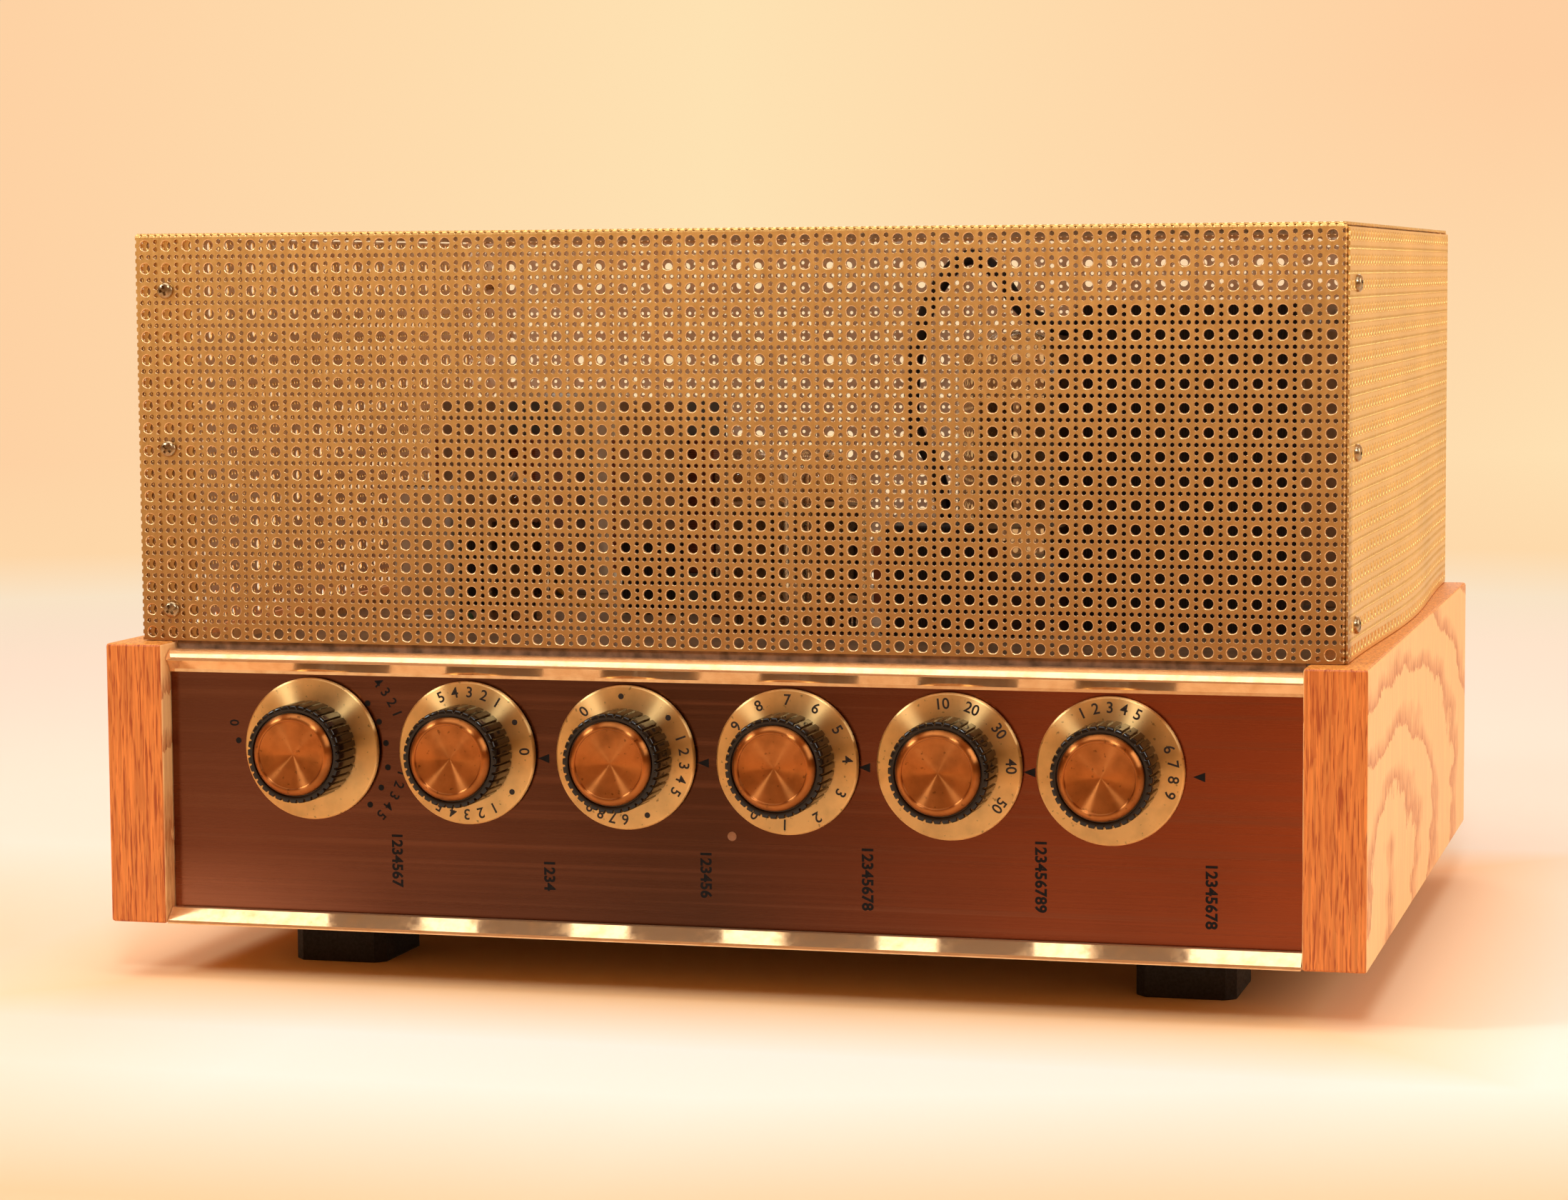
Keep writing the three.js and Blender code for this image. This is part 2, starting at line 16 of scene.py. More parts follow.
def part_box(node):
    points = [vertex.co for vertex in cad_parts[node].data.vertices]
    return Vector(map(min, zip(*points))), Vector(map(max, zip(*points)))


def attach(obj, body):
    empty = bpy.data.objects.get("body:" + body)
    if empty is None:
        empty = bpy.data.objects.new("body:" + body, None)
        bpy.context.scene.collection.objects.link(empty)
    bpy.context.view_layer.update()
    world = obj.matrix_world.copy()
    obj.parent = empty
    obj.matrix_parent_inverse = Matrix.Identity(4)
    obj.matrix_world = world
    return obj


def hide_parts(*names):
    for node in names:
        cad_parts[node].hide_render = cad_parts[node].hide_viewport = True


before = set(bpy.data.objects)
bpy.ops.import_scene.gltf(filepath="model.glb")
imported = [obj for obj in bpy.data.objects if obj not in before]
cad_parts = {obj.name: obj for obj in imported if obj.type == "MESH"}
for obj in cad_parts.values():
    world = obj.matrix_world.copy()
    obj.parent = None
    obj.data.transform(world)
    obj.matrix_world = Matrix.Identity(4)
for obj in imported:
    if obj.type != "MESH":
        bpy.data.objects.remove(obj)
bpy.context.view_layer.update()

bl_info = {
    "name": "Valve Amplifier",
    "version": (1, 0, 0),
    "blender": (4, 5, 0),
    "location": "3D View > Sidebar > Amplifier",
    "description": "Dresses the packed valve amplifier with its cover, dials, wood and metal",
    "category": "Object",
}

MM = 0.001
CASE = "case"
CONTROLS = ("balance", "bass", "treble", "loudness", "equaliser", "mode")
CORNERS = ("front_left", "front_right", "rear_left", "rear_right")
# Turns a piece made upright so that it points out of the front, the back, the right side or the left
# side, or down
TO_FRONT = Euler((math.pi / 2, 0, 0)).to_matrix().to_4x4()
TO_BACK = Euler((-math.pi / 2, 0, 0)).to_matrix().to_4x4()
TO_RIGHT = Euler((0, math.pi / 2, 0)).to_matrix().to_4x4()
TO_LEFT = Euler((0, -math.pi / 2, 0)).to_matrix().to_4x4()
DOWN = Euler((math.pi, 0, 0)).to_matrix().to_4x4()

# Settings that all lengths and all colours in the sidebar share
LENGTH = {"unit": "LENGTH"}
COLOUR = {"subtype": "COLOR", "size": 4, "min": 0, "max": 1}

# Kinds of node that the finishes use most
NOISE, RANGE, MATH, MIX = "ShaderNodeTexNoise", "ShaderNodeMapRange", "ShaderNodeMath", "ShaderNodeMix"

MATERIALS = {}
TREES = {}


def linear(hex_colour, alpha=1.0):
    """Linear RGBA of an sRGB hex colour."""
    channels = [int(hex_colour[i:i + 2], 16) / 255 for i in (1, 3, 5)]
    return [c / 12.92 if c <= 0.04045 else ((c + 0.055) / 1.055) ** 2.4 for c in channels] + [alpha]


def add_node(tree, kind, inputs=None, **fields):
    """Adds a node, sets its fields, and gives its inputs values or links from nodes and sockets."""
    node = tree.nodes.new(kind)
    for field, value in fields.items():
        setattr(node, field, value)
    for name, value in (inputs or {}).items():
        if isinstance(value, bpy.types.Node):
            value = next(socket for socket in value.outputs if socket.enabled)
        if isinstance(value, bpy.types.NodeSocket):
            tree.links.new(value, node.inputs[name])
        else:
            node.inputs[name].default_value = value
    return node


def new_material(name):
    """The empty node tree of a new material."""
    material = bpy.data.materials.new(name)
    material.use_nodes = True
    material.node_tree.nodes.clear()
    MATERIALS[name] = material
    return material.node_tree


def close_material(tree, inputs):
    """Ends a material with a Principled shader that has these inputs."""
    shader = add_node(tree, "ShaderNodeBsdfPrincipled", inputs)
    add_node(tree, "ShaderNodeOutputMaterial", {"Surface": shader})


def mapped(tree, scale=(1, 1, 1), turn=(0, 0, 0), place=(0, 0, 0), source="Object"):
    """Object coordinates, or a named attribute, scaled, turned and moved."""
    if source == "Object":
        coords = add_node(tree, "ShaderNodeTexCoord").outputs["Object"]
    else:
        coords = add_node(tree, "ShaderNodeAttribute", attribute_name=source).outputs["Vector"]
    return add_node(tree, "ShaderNodeMapping", {
        "Vector": coords, "Scale": scale, "Rotation": turn, "Location": place})


def shaded(colour, shares):
    """A colour with a share of its red, of its green and of its blue."""
    return [channel * share for channel, share in zip(colour, shares)] + [1]


class Shape:
    """Gathers closed bodies in metres and makes one mesh of them."""

    def __init__(self):
        self.points, self.faces, self.looks = [], [], []

    def add(self, points, faces, place=None, look=0):
        """Adds a body made elsewhere."""
        first = len(self.points)
        place = place or Matrix.Identity(4)
        self.points += [place @ Vector(point) for point in points]
        self.faces += [[first + i for i in face] for face in faces]
        self.looks += [look] * len(faces)

    def box(self, low, high, look=0, place=None):
        """A block between two corners, in millimetres."""
        xs, ys, zs = ((low[i] * MM, high[i] * MM) for i in range(3))
        points = [(x, y, z) for z in zs for y in ys for x in xs]
        faces = [(0, 2, 3, 1), (4, 5, 7, 6), (0, 1, 5, 4), (2, 6, 7, 3), (0, 4, 6, 2), (1, 3, 7, 5)]
        self.add(points, faces, place, look)

    def turned(self, profile, sides, place=None, look=0):
        """A profile of (radius, height) in millimetres turned about Z.

        It ends on the axis or closes on itself.
        """
        rings, points = [], []
        closed = profile[0] == profile[-1]
        for radius, height in profile[:-1] if closed else profile:
            if radius < 1e-6:
                rings.append([len(points)] * sides)
                points.append((0, 0, height * MM))
                continue
            rings.append(list(range(len(points), len(points) + sides)))
            for i in range(sides):
                angle = 2 * math.pi * i / sides
                points.append((radius * MM * math.cos(angle), radius * MM * math.sin(angle), height * MM))
        if closed:
            rings.append(rings[0])
        faces = []
        for low, high in zip(rings, rings[1:]):
            for i in range(sides):
                j = (i + 1) % sides
                face = [low[i], low[j], high[j], high[i]]
                face = [v for k, v in enumerate(face) if v not in face[:k]]
                if len(face) > 2:
                    faces.append(face)
        self.add(points, faces, place, look)

    def disc(self, radius, low, high, sides, place=None, look=0):
        """A disc or a rod about Z from one height to another, in millimetres."""
        self.turned([(0, low), (radius, low), (radius, high), (0, high)], sides, place, look)

    def prism(self, outline, low, high, place=None, look=0):
        """An outline of (x, y) in millimetres, anticlockwise, raised from low to high."""
        count = len(outline)
        points = [(x * MM, y * MM, z * MM) for z in (low, high) for x, y in outline]
        faces = [list(range(count))[::-1], list(range(count, 2 * count))]
        faces += [(i, (i + 1) % count, count + (i + 1) % count, count + i) for i in range(count)]
        self.add(points, faces, place, look)

    def tube(self, path, radius, sides, look=0):
        """A round tube along points in millimetres, closed at both ends."""
        route = [Vector(point) * MM for point in path]
        points, faces = [], []
        side = None
        for i, point in enumerate(route):
            ahead = (route[min(i + 1, len(route) - 1)] - route[max(i - 1, 0)]).normalized()
            side = (side or ahead.orthogonal()) - ahead * ahead.dot(side or ahead.orthogonal())
            side.normalize()
            other = ahead.cross(side)
            for k in range(sides):
                angle = 2 * math.pi * k / sides
                points.append(point + radius * MM * (side * math.cos(angle) + other * math.sin(angle)))
        for i in range(len(route) - 1):
            for k in range(sides):
                j = (k + 1) % sides
                faces.append((i * sides + k, i * sides + j, (i + 1) * sides + j, (i + 1) * sides + k))
        last = (len(route) - 1) * sides
        faces += [list(range(sides))[::-1], list(range(last, last + sides))]
        self.add(points, faces, None, look)

    def mesh(self, name, crease=35):
        """The mesh of all bodies, smooth up to the crease angle in degrees."""
        mesh = bpy.data.meshes.new(name)
        mesh.from_pydata(self.points, [], self.faces)
        mesh.polygons.foreach_set("material_index", self.looks)
        return smoothed(mesh, crease)


def smoothed(mesh, crease=35):
    """Smooth shading with sharp edges past the crease angle."""
    mesh.polygons.foreach_set("use_smooth", [True] * len(mesh.polygons))
    mesh.set_sharp_from_angle(angle=math.radians(crease))
    mesh.update()
    return mesh


def spline(points, steps):
    """Points of a smooth curve through the given ones, with steps between each two."""
    route = [Vector(point) for point in points]
    route = [2 * route[0] - route[1]] + route + [2 * route[-1] - route[-2]]
    smooth = []
    for a, b, c, d in zip(route, route[1:], route[2:], route[3:]):
        for i in range(steps):
            t = i / steps
            smooth.append(0.5 * (2 * b + (c - a) * t + (2 * a - 5 * b + 4 * c - d) * t * t
                                 + (3 * b - 3 * c + d - a) * t ** 3))
    return smooth + [route[-2]]


def link(name, mesh, looks=()):
    """An object in the scene with these materials."""
    piece = bpy.data.objects.new(name, mesh)
    bpy.context.scene.collection.objects.link(piece)
    if looks:
        indices = [face.material_index for face in mesh.polygons]
        mesh.materials.clear()
        for look in looks:
            mesh.materials.append(MATERIALS[look])
        mesh.polygons.foreach_set("material_index", indices)
    return piece


def dress(name, mesh, looks, body=CASE, stands_for=(), bevel=0.0):
    """A finished piece that rides on a body and the nodes that it stands for."""
    piece = link(name, mesh, looks)
    if bevel:
        edge = piece.modifiers.new("eased edges", "BEVEL")
        edge.width, edge.segments, edge.limit_method = bevel * MM, 2, "ANGLE"
        edge.angle_limit, edge.harden_normals = math.radians(50), True
    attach(piece, body)
    if stands_for:
        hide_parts(*stands_for)
    return piece


def dress_many(name, item_mesh, places, look):
    """One steel piece of an item repeated at places."""
    return dress(name, repeated(item_mesh, places, look), [look])


def placed(x, y, z, turn=None, spin=0.0):
    """A place in millimetres, turned, after a spin about the piece's own axis in degrees."""
    move = Matrix.Translation((x * MM, y * MM, z * MM))
    return move @ (turn or Matrix.Identity(4)) @ Matrix.Rotation(math.radians(spin), 4, "Z")


def box_mm(node):
    """Lowest and highest corner of a node of the frame, in millimetres."""
    low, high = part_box(node)
    return low / MM, high / MM


def middle_mm(node):
    """Middle of a node's box, in millimetres."""
    low, high = box_mm(node)
    return (low + high) / 2


def new_tree(name, inputs):
    """A geometry node tree with these inputs, given as (name, socket type), and its input node."""
    tree = bpy.data.node_groups.new(name, "GeometryNodeTree")
    tree.interface.new_socket("Geometry", in_out="OUTPUT", socket_type="NodeSocketGeometry")
    for label, kind in inputs:
        tree.interface.new_socket(label, in_out="INPUT", socket_type=kind)
    return tree, add_node(tree, "NodeGroupInput")


def close_tree(tree, instances, entry, weld=True):
    """Realizes the instances, welds them where asked, and sets the material."""
    geometry = add_node(tree, "GeometryNodeRealizeInstances", {"Geometry": instances})
    if weld:
        geometry = add_node(tree, "GeometryNodeMergeByDistance", {"Geometry": geometry, "Distance": 2e-6})
    final = add_node(tree, "GeometryNodeSetMaterial", {
        "Geometry": geometry, "Material": entry.outputs["Material"]})
    add_node(tree, "NodeGroupOutput", {"Geometry": final})
    return tree


def grid_tree():
    """Repeats an item over a flat grid: the holes of the sheet."""
    tree, entry = new_tree("hole grid", (
        ("Item", "NodeSocketObject"), ("Columns", "NodeSocketInt"), ("Rows", "NodeSocketInt"),
        ("Width", "NodeSocketFloat"), ("Length", "NodeSocketFloat"), ("Material", "NodeSocketMaterial")))
    item = add_node(tree, "GeometryNodeObjectInfo", {"Object": entry.outputs["Item"]})
    grid = add_node(tree, "GeometryNodeMeshGrid", {
        "Size X": entry.outputs["Width"], "Size Y": entry.outputs["Length"],
        "Vertices X": entry.outputs["Columns"], "Vertices Y": entry.outputs["Rows"]})
    many = add_node(tree, "GeometryNodeInstanceOnPoints", {
        "Points": grid.outputs["Mesh"], "Instance": item.outputs["Geometry"]})
    return close_tree(tree, many, entry)


def ring_tree():
    """Repeats a sector round the Z axis: the flutes of a grip, the pins of a valve."""
    tree, entry = new_tree("ring of sectors", (
        ("Item", "NodeSocketObject"), ("Count", "NodeSocketInt"), ("Material", "NodeSocketMaterial")))
    count = entry.outputs["Count"]
    item = add_node(tree, "GeometryNodeObjectInfo", {"Object": entry.outputs["Item"]})
    line = add_node(tree, "GeometryNodeMeshLine", {"Offset": (0, 0, 0), "Count": count})
    index = add_node(tree, "GeometryNodeInputIndex")
    share = add_node(tree, MATH, {0: index, 1: count}, operation="DIVIDE")
    angle = add_node(tree, MATH, {0: share, 1: 2 * math.pi}, operation="MULTIPLY")
    turn = add_node(tree, "ShaderNodeCombineXYZ", {"Z": angle})
    spin = add_node(tree, "FunctionNodeEulerToRotation", {0: turn})
    many = add_node(tree, "GeometryNodeInstanceOnPoints", {
        "Points": line.outputs["Mesh"], "Instance": item.outputs["Geometry"], "Rotation": spin})
    return close_tree(tree, many, entry)


def places_tree():
    """Repeats an item at the points of a mesh, turned by their attribute: screws, nuts, jacks."""
    tree, entry = new_tree("item at places", (
        ("Item", "NodeSocketObject"), ("Places", "NodeSocketObject"), ("Material", "NodeSocketMaterial")))
    item = add_node(tree, "GeometryNodeObjectInfo", {"Object": entry.outputs["Item"]})
    spots = add_node(tree, "GeometryNodeObjectInfo", {"Object": entry.outputs["Places"]})
    turn = add_node(tree, "GeometryNodeInputNamedAttribute", {"Name": "turn"}, data_type="FLOAT_VECTOR")
    spin = add_node(tree, "FunctionNodeEulerToRotation", {0: turn})
    many = add_node(tree, "GeometryNodeInstanceOnPoints", {
        "Points": spots.outputs["Geometry"], "Instance": item.outputs["Geometry"], "Rotation": spin})
    return close_tree(tree, many, entry, weld=False)


def evaluated_mesh(host):
    """A new mesh of an object with its modifiers applied."""
    bpy.context.view_layer.update()
    return bpy.data.meshes.new_from_object(host.evaluated_get(bpy.context.evaluated_depsgraph_get()))


def grown(kind, values):
    """The plain mesh that a tree makes from these input values."""
    if kind not in TREES:
        TREES[kind] = {"grid": grid_tree, "ring": ring_tree, "places": places_tree}[kind]()
    tree = TREES[kind]
    host = link("grown " + kind, bpy.data.meshes.new(kind))
    modifier = host.modifiers.new(kind, "NODES")
    modifier.node_group = tree
    for socket in tree.interface.items_tree:
        if socket.item_type == "SOCKET" and socket.in_out == "INPUT":
            modifier[socket.identifier] = values[socket.name]
    host.update_tag()
    mesh = evaluated_mesh(host)
    host.modifiers.remove(modifier)
    bpy.data.objects.remove(host)
    # Set Material leaves an empty first slot, so the faces are put back on their only finish
    mesh.polygons.foreach_set("material_index", [0] * len(mesh.polygons))
    return mesh


def repeated(item_mesh, places, look):
    """One mesh of an item repeated at places, each a 4x4 matrix without scale."""
    item = link("item", item_mesh)
    mesh = bpy.data.meshes.new("places")
    mesh.from_pydata([place.to_translation() for place in places], [], [])
    turns = mesh.attributes.new("turn", "FLOAT_VECTOR", "POINT")
    turns.data.foreach_set("vector", [angle for place in places for angle in place.to_euler()])
    spots = link("spots", mesh)
    made = grown("places", {"Item": item, "Places": spots, "Material": MATERIALS[look]})
    bpy.data.objects.remove(item)
    bpy.data.objects.remove(spots)
    return made


class AmplifierSheetSizes(bpy.types.PropertyGroup):
    """Perforated sheet of the cover."""

    pitch: FloatProperty(
        name="Pitch", description="Distance between large holes", default=6.8 * MM, **LENGTH)
    large: FloatProperty(
        name="Large hole", description="Diameter of a large hole", default=2.9 * MM, **LENGTH)
    small: FloatProperty(
        name="Small hole", description="Diameter of a small hole", default=1.3 * MM, **LENGTH)
    rim: FloatProperty(
        name="Rim", description="How far the punch rounds a hole's edge", default=0.34 * MM, **LENGTH)
    thickness: FloatProperty(
        name="Thickness", description="Sheet thickness", default=0.8 * MM, **LENGTH)
    fold: FloatProperty(
        name="Fold", description="Outer radius of a fold", default=1.2 * MM, **LENGTH)
    bulge: FloatProperty(
        name="Bulge", description="How far the right sheet bows out", default=3.4 * MM, **LENGTH)
    colour: FloatVectorProperty(
        name="Gold bronze", description="Lacquered sheet", default=linear("#f8ca7c"), **COLOUR)


class AmplifierDialSizes(bpy.types.PropertyGroup):
    """Dials of the six controls."""

    flutes: IntProperty(name="Flutes", description="Grooves round a grip", default=36, min=12, max=72)
    groove: FloatProperty(
        name="Groove", description="Depth of a groove", default=0.75 * MM, **LENGTH)
    digit: FloatProperty(
        name="Digit", description="Height of a dial's figures", default=3.2 * MM, **LENGTH)
    dot: FloatProperty(
        name="Dot", description="Diameter of a printed dot", default=1.7 * MM, **LENGTH)
    skirt_colour: FloatVectorProperty(
        name="Skirt gold", description="Anodised skirts", default=linear("#ffcd86"), **COLOUR)
    inlay_colour: FloatVectorProperty(
        name="Inlay copper", description="Spun inlays", default=linear("#b46c36"), **COLOUR)


class AmplifierCaseSizes(bpy.types.PropertyGroup):
    """Colours of the wood, the panel and the trims."""

    oak: FloatVectorProperty(
        name="Oak", description="Solid oak", default=linear("#d3803a"), **COLOUR)
    # paler oak of the sides: the paleness is painted light from the right
    lit_side_oak: FloatVectorProperty(
        name="Veneer", description="Pale oak face", default=linear("#fccb8c"), **COLOUR)
    panel: FloatVectorProperty(
        name="Panel", description="Brushed panel", default=linear("#533324"), **COLOUR)
    trim: FloatVectorProperty(
        name="Trim", description="Polished strips", default=linear("#f2c896"), **COLOUR)


class AmplifierStageSizes(bpy.types.PropertyGroup):
    """Camera, floor and light."""

    lens: FloatProperty(
        name="Lens", description="Focal length on a 36 mm sensor, in millimetres", default=86.116)
    place: FloatVectorProperty(
        name="Camera", description="Place of the camera", subtype="TRANSLATION",
        default=(0.30379, -1.16702, 0.20991))
    turn: FloatVectorProperty(
        name="Camera turn", description="Yaw, pitch and roll of the camera", subtype="EULER",
        default=(math.radians(15.3429), math.radians(-4.9648), math.radians(0.3976)))
    ambient: FloatProperty(name="Ambient", description="Strength of the light all round", default=0.78)
    paper: FloatVectorProperty(
        name="Paper", description="Floor", default=linear("#f0fbf7"), **COLOUR)
    haze: FloatVectorProperty(
        name="Backdrop", description="Middle of the backdrop", default=linear("#fee2b2"), **COLOUR)
    edge: FloatVectorProperty(
        name="Backdrop side", description="Sides of the backdrop", default=linear("#fecfa1"), **COLOUR)
    room: FloatVectorProperty(
        name="Room", description="Room that metal mirrors", default=linear("#a5764c"), **COLOUR)


def make_sheet_metal(colour):
    """Gold-bronze lacquered aluminium sheet: satin, softly clouded, with fine rolling lines."""
    tree = new_material("lacquered_gold_bronze_sheet")
    clouds = add_node(tree, NOISE, {"Scale": 22, "Detail": 4, "Vector": mapped(tree)})
    clear = add_node(tree, RANGE, {0: clouds, 1: 0.35, 2: 0.7})
    cloudy = shaded(colour, (0.86, 0.86, 0.86))
    tint = add_node(tree, MIX, {0: clear, 6: cloudy, 7: list(colour)}, data_type="RGBA")
    # painted shade: the front sheet is darkened towards its foot
    low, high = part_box("cover_front")
    parts = add_node(tree, "ShaderNodeSeparateXYZ", {0: mapped(tree)})
    front = add_node(tree, RANGE, {0: parts.outputs["Y"], 1: low.y + 12 * MM, 2: low.y + 4 * MM})
    down = add_node(tree, RANGE, {0: parts.outputs["Z"], 1: high.z, 2: low.z, 4: 0.92})
    painted_shade_mask = add_node(tree, MATH, {0: front, 1: down}, operation="MULTIPLY")
    brown = shaded(colour, (0.42, 0.34, 0.33))
    tint = add_node(tree, MIX, {0: painted_shade_mask, 6: tint, 7: brown}, data_type="RGBA")
    grain = add_node(tree, NOISE, {"Scale": 900, "Detail": 2, "Vector": mapped(tree, (1, 1, 0.2))})
    gloss = add_node(tree, RANGE, {0: grain, 1: 0.3, 2: 0.7, 3: 0.29, 4: 0.42})
    bump = add_node(tree, "ShaderNodeBump", {"Strength": 0.12, "Distance": 0.05 * MM, "Height": grain})
    close_material(tree, {"Base Color": tint, "Metallic": 0.85, "Roughness": gloss, "Normal": bump})


def make_bare_inside():
    """Bare rolled aluminium, dull: the unlacquered inner face, made near white as painted light inside the
    cover.
    """
    tree = new_material("bare_inside_painted_light")
    clouds = add_node(tree, NOISE, {"Scale": 18, "Detail": 3, "Vector": mapped(tree)})
    cloudy = add_node(tree, RANGE, {0: clouds, 1: 0.35, 2: 0.65})
    # near white: painted light that brightens the inside of the cover seen through the holes
    tint = add_node(tree, MIX, {0: cloudy, 6: linear("#fff0d8"), 7: linear("#ffe2bc")}, data_type="RGBA")
    close_material(tree, {"Base Color": tint, "Metallic": 0.05, "Roughness": 0.7})


def make_oak(name, colour, ring_share, pore_share, plain, gloss):
    """Red oak, grain upright: streaked where the rings are cut across, arched where cut plain."""
    tree = new_material(name)
    # noise drawn out along the grain: (scale, detail)
    grains = {
        "jag": ((700, 420, 90), 3),
        "warp": ((9, 13, 38) if plain else (90, 60, 13), 2),
        "fibre": ((1300, 900, 42), 3),
        "dash": ((2100, 1500, 130) if plain else (1500, 1100, 85), 2),
    }
    if plain:
        grains["crowd"] = ((1500, 1100, 150), 2)
    noise = {}
    for use, (scale, detail) in grains.items():
        noise[use] = add_node(tree, NOISE, {
            "Vector": mapped(tree, scale), "Scale": 1, "Detail": detail, "Roughness": 0.62})
    # jagged edges of a ring: the tips of its pores
    width = 0.42 if plain else 0.8
    jag = add_node(tree, MATH, {0: noise["jag"], 1: width, 2: -width / 2}, operation="MULTIPLY_ADD")
    place = add_node(tree, "ShaderNodeSeparateXYZ", {0: mapped(tree)})
    if plain:
        # an eye of arches, 60 mm a ring to the sides and 15.5 mm a ring upwards
        side = add_node(tree, MATH, {0: place.outputs["Y"], 1: 0.085}, operation="ADD")
        side = add_node(tree, MATH, {0: side, 1: 0.06}, operation="DIVIDE")
        side = add_node(tree, MATH, {0: side, 1: side}, operation="MULTIPLY")
        up = add_node(tree, MATH, {0: place.outputs["Z"], 1: 0.044}, operation="SUBTRACT")
        up = add_node(tree, MATH, {0: up, 1: 0.0}, operation="MAXIMUM")
        up = add_node(tree, MATH, {0: up, 1: 0.0155}, operation="DIVIDE")
        up = add_node(tree, MATH, {0: up, 1: up}, operation="MULTIPLY")
        reach = add_node(tree, MATH, {0: side, 1: up}, operation="ADD")
        reach = add_node(tree, MATH, {0: reach}, operation="SQRT")
    else:
        # 330 rings a metre, which is 3 mm a ring
        reach = add_node(tree, MATH, {0: place.outputs["X"], 1: 330.0}, operation="MULTIPLY")
    wander = 1.5 if plain else 7.0
    warp = add_node(tree, MATH, {0: noise["warp"], 1: wander, 2: -wander / 2}, operation="MULTIPLY_ADD")
    ring = add_node(tree, MATH, {0: reach, 1: warp}, operation="ADD")
    ring = add_node(tree, MATH, {0: ring, 1: jag}, operation="ADD")
    ring = add_node(tree, MATH, {0: ring}, operation="FRACT")
    band = add_node(tree, RANGE, {0: ring, 1: 0.04, 2: 0.4 if plain else 0.6})
    band = add_node(tree, MATH, {0: 1.0, 1: band}, operation="SUBTRACT")
    fibre = add_node(tree, RANGE, {0: noise["fibre"], 1: 0.36, 2: 0.64})
    depth, share = fibre, 0.85
    if plain:
        # a ring is a crowd of short pores, thickest at its inner edge
        crowd = add_node(tree, RANGE, {0: noise["crowd"], 1: 0.36, 2: 0.6})
        depth = add_node(tree, MATH, {0: crowd, 1: 0.7, 2: 0.3}, operation="MULTIPLY_ADD")
        share = add_node(tree, MATH, {0: band, 1: 0.9, 2: 0.1}, operation="MULTIPLY_ADD")
    depth = add_node(tree, MATH, {0: band, 1: depth}, operation="MULTIPLY")
    dash = add_node(tree, RANGE, {0: noise["dash"], 1: 0.53, 2: 0.64})
    dash = add_node(tree, MATH, {0: dash, 1: share}, operation="MULTIPLY")
    pale = [min(channel * 1.12, 1) for channel in colour[:3]] + [1]
    dull = shaded(colour, [0.95 if plain else 0.8] * 3)
    body = add_node(tree, MIX, {0: fibre, 6: pale, 7: dull}, data_type="RGBA")
    ringed = add_node(tree, MIX, {0: depth, 6: body, 7: shaded(colour, ring_share)}, data_type="RGBA")
    tint = add_node(tree, MIX, {0: dash, 6: ringed, 7: shaded(colour, pore_share)}, data_type="RGBA")
    bump = add_node(tree, "ShaderNodeBump", {"Strength": 0.3, "Distance": 0.1 * MM, "Height": dash},
                    invert=True)
    close_material(tree, {"Base Color": tint, "Roughness": gloss, "Normal": bump})


def make_brushed_panel(colour):
    """Aluminium brushed lengthways and anodised copper brown: streaked, with a few stray scratches."""
    tree = new_material("brushed_copper_brown_aluminium")
    place = add_node(tree, "ShaderNodeSeparateXYZ", {0: mapped(tree)})
    # masks of painted reflection at the left and the right, and of painted light in the lower left corner
    left = add_node(tree, RANGE, {0: place.outputs["X"], 1: -0.02, 2: -0.15})
    right = add_node(tree, RANGE, {0: place.outputs["X"], 1: 0.0, 2: 0.17})
    far_left = add_node(tree, RANGE, {0: place.outputs["X"], 1: -0.1, 2: -0.19})
    foot = add_node(tree, RANGE, {0: place.outputs["Z"], 1: 0.04, 2: 0.018})
    corner = add_node(tree, MATH, {0: far_left, 1: foot}, operation="MULTIPLY")
    stain = add_node(tree, NOISE, {"Scale": 9, "Detail": 3, "Vector": mapped(tree)})
    stained = add_node(tree, RANGE, {0: stain, 1: 0.4, 2: 0.75, 4: 0.45})
    wide = add_node(tree, NOISE, {"Scale": 1, "Detail": 3, "Vector": mapped(tree, (3, 1, 420))})
    streaked = add_node(tree, RANGE, {0: wide, 1: 0.52, 2: 0.72, 4: 0.45})
    # olive brown in the middle; the red brown at the left and the orange at the right are a painted
    # reflection, the pale lower left corner is painted light reflected up from the strip below, and it is
    # stained and streaked
    painted_light_and_stains = ((left, (2.0, 1.8, 1.8)), (right, (4.4, 2.4, 1.5)), (corner, (5, 5.5, 6)),
             (stained, (0.72, 0.8, 0.85)), (streaked, (2.2, 2.2, 2.2)))
    tint = list(colour)
    for where, shares in painted_light_and_stains:
        tint = add_node(tree, MIX, {0: where, 6: tint, 7: shaded(colour, shares)}, data_type="RGBA")
    # light is drawn out across the brushing, which runs along X
    across = add_node(tree, "ShaderNodeTangent", direction_type="RADIAL", axis="X")
    brush = add_node(tree, NOISE, {
        "Scale": 1, "Detail": 4, "Roughness": 0.7, "Vector": mapped(tree, (6, 1, 2600))})
    gloss = add_node(tree, RANGE, {0: brush, 1: 0.3, 2: 0.7, 3: 0.17, 4: 0.32})
    bump = add_node(tree, "ShaderNodeBump", {"Strength": 0.1, "Distance": 0.02 * MM, "Height": brush})
    close_material(tree, {"Base Color": tint, "Metallic": 1.0, "Roughness": gloss, "Anisotropic": 0.7,
                          "Tangent": across, "Normal": bump})


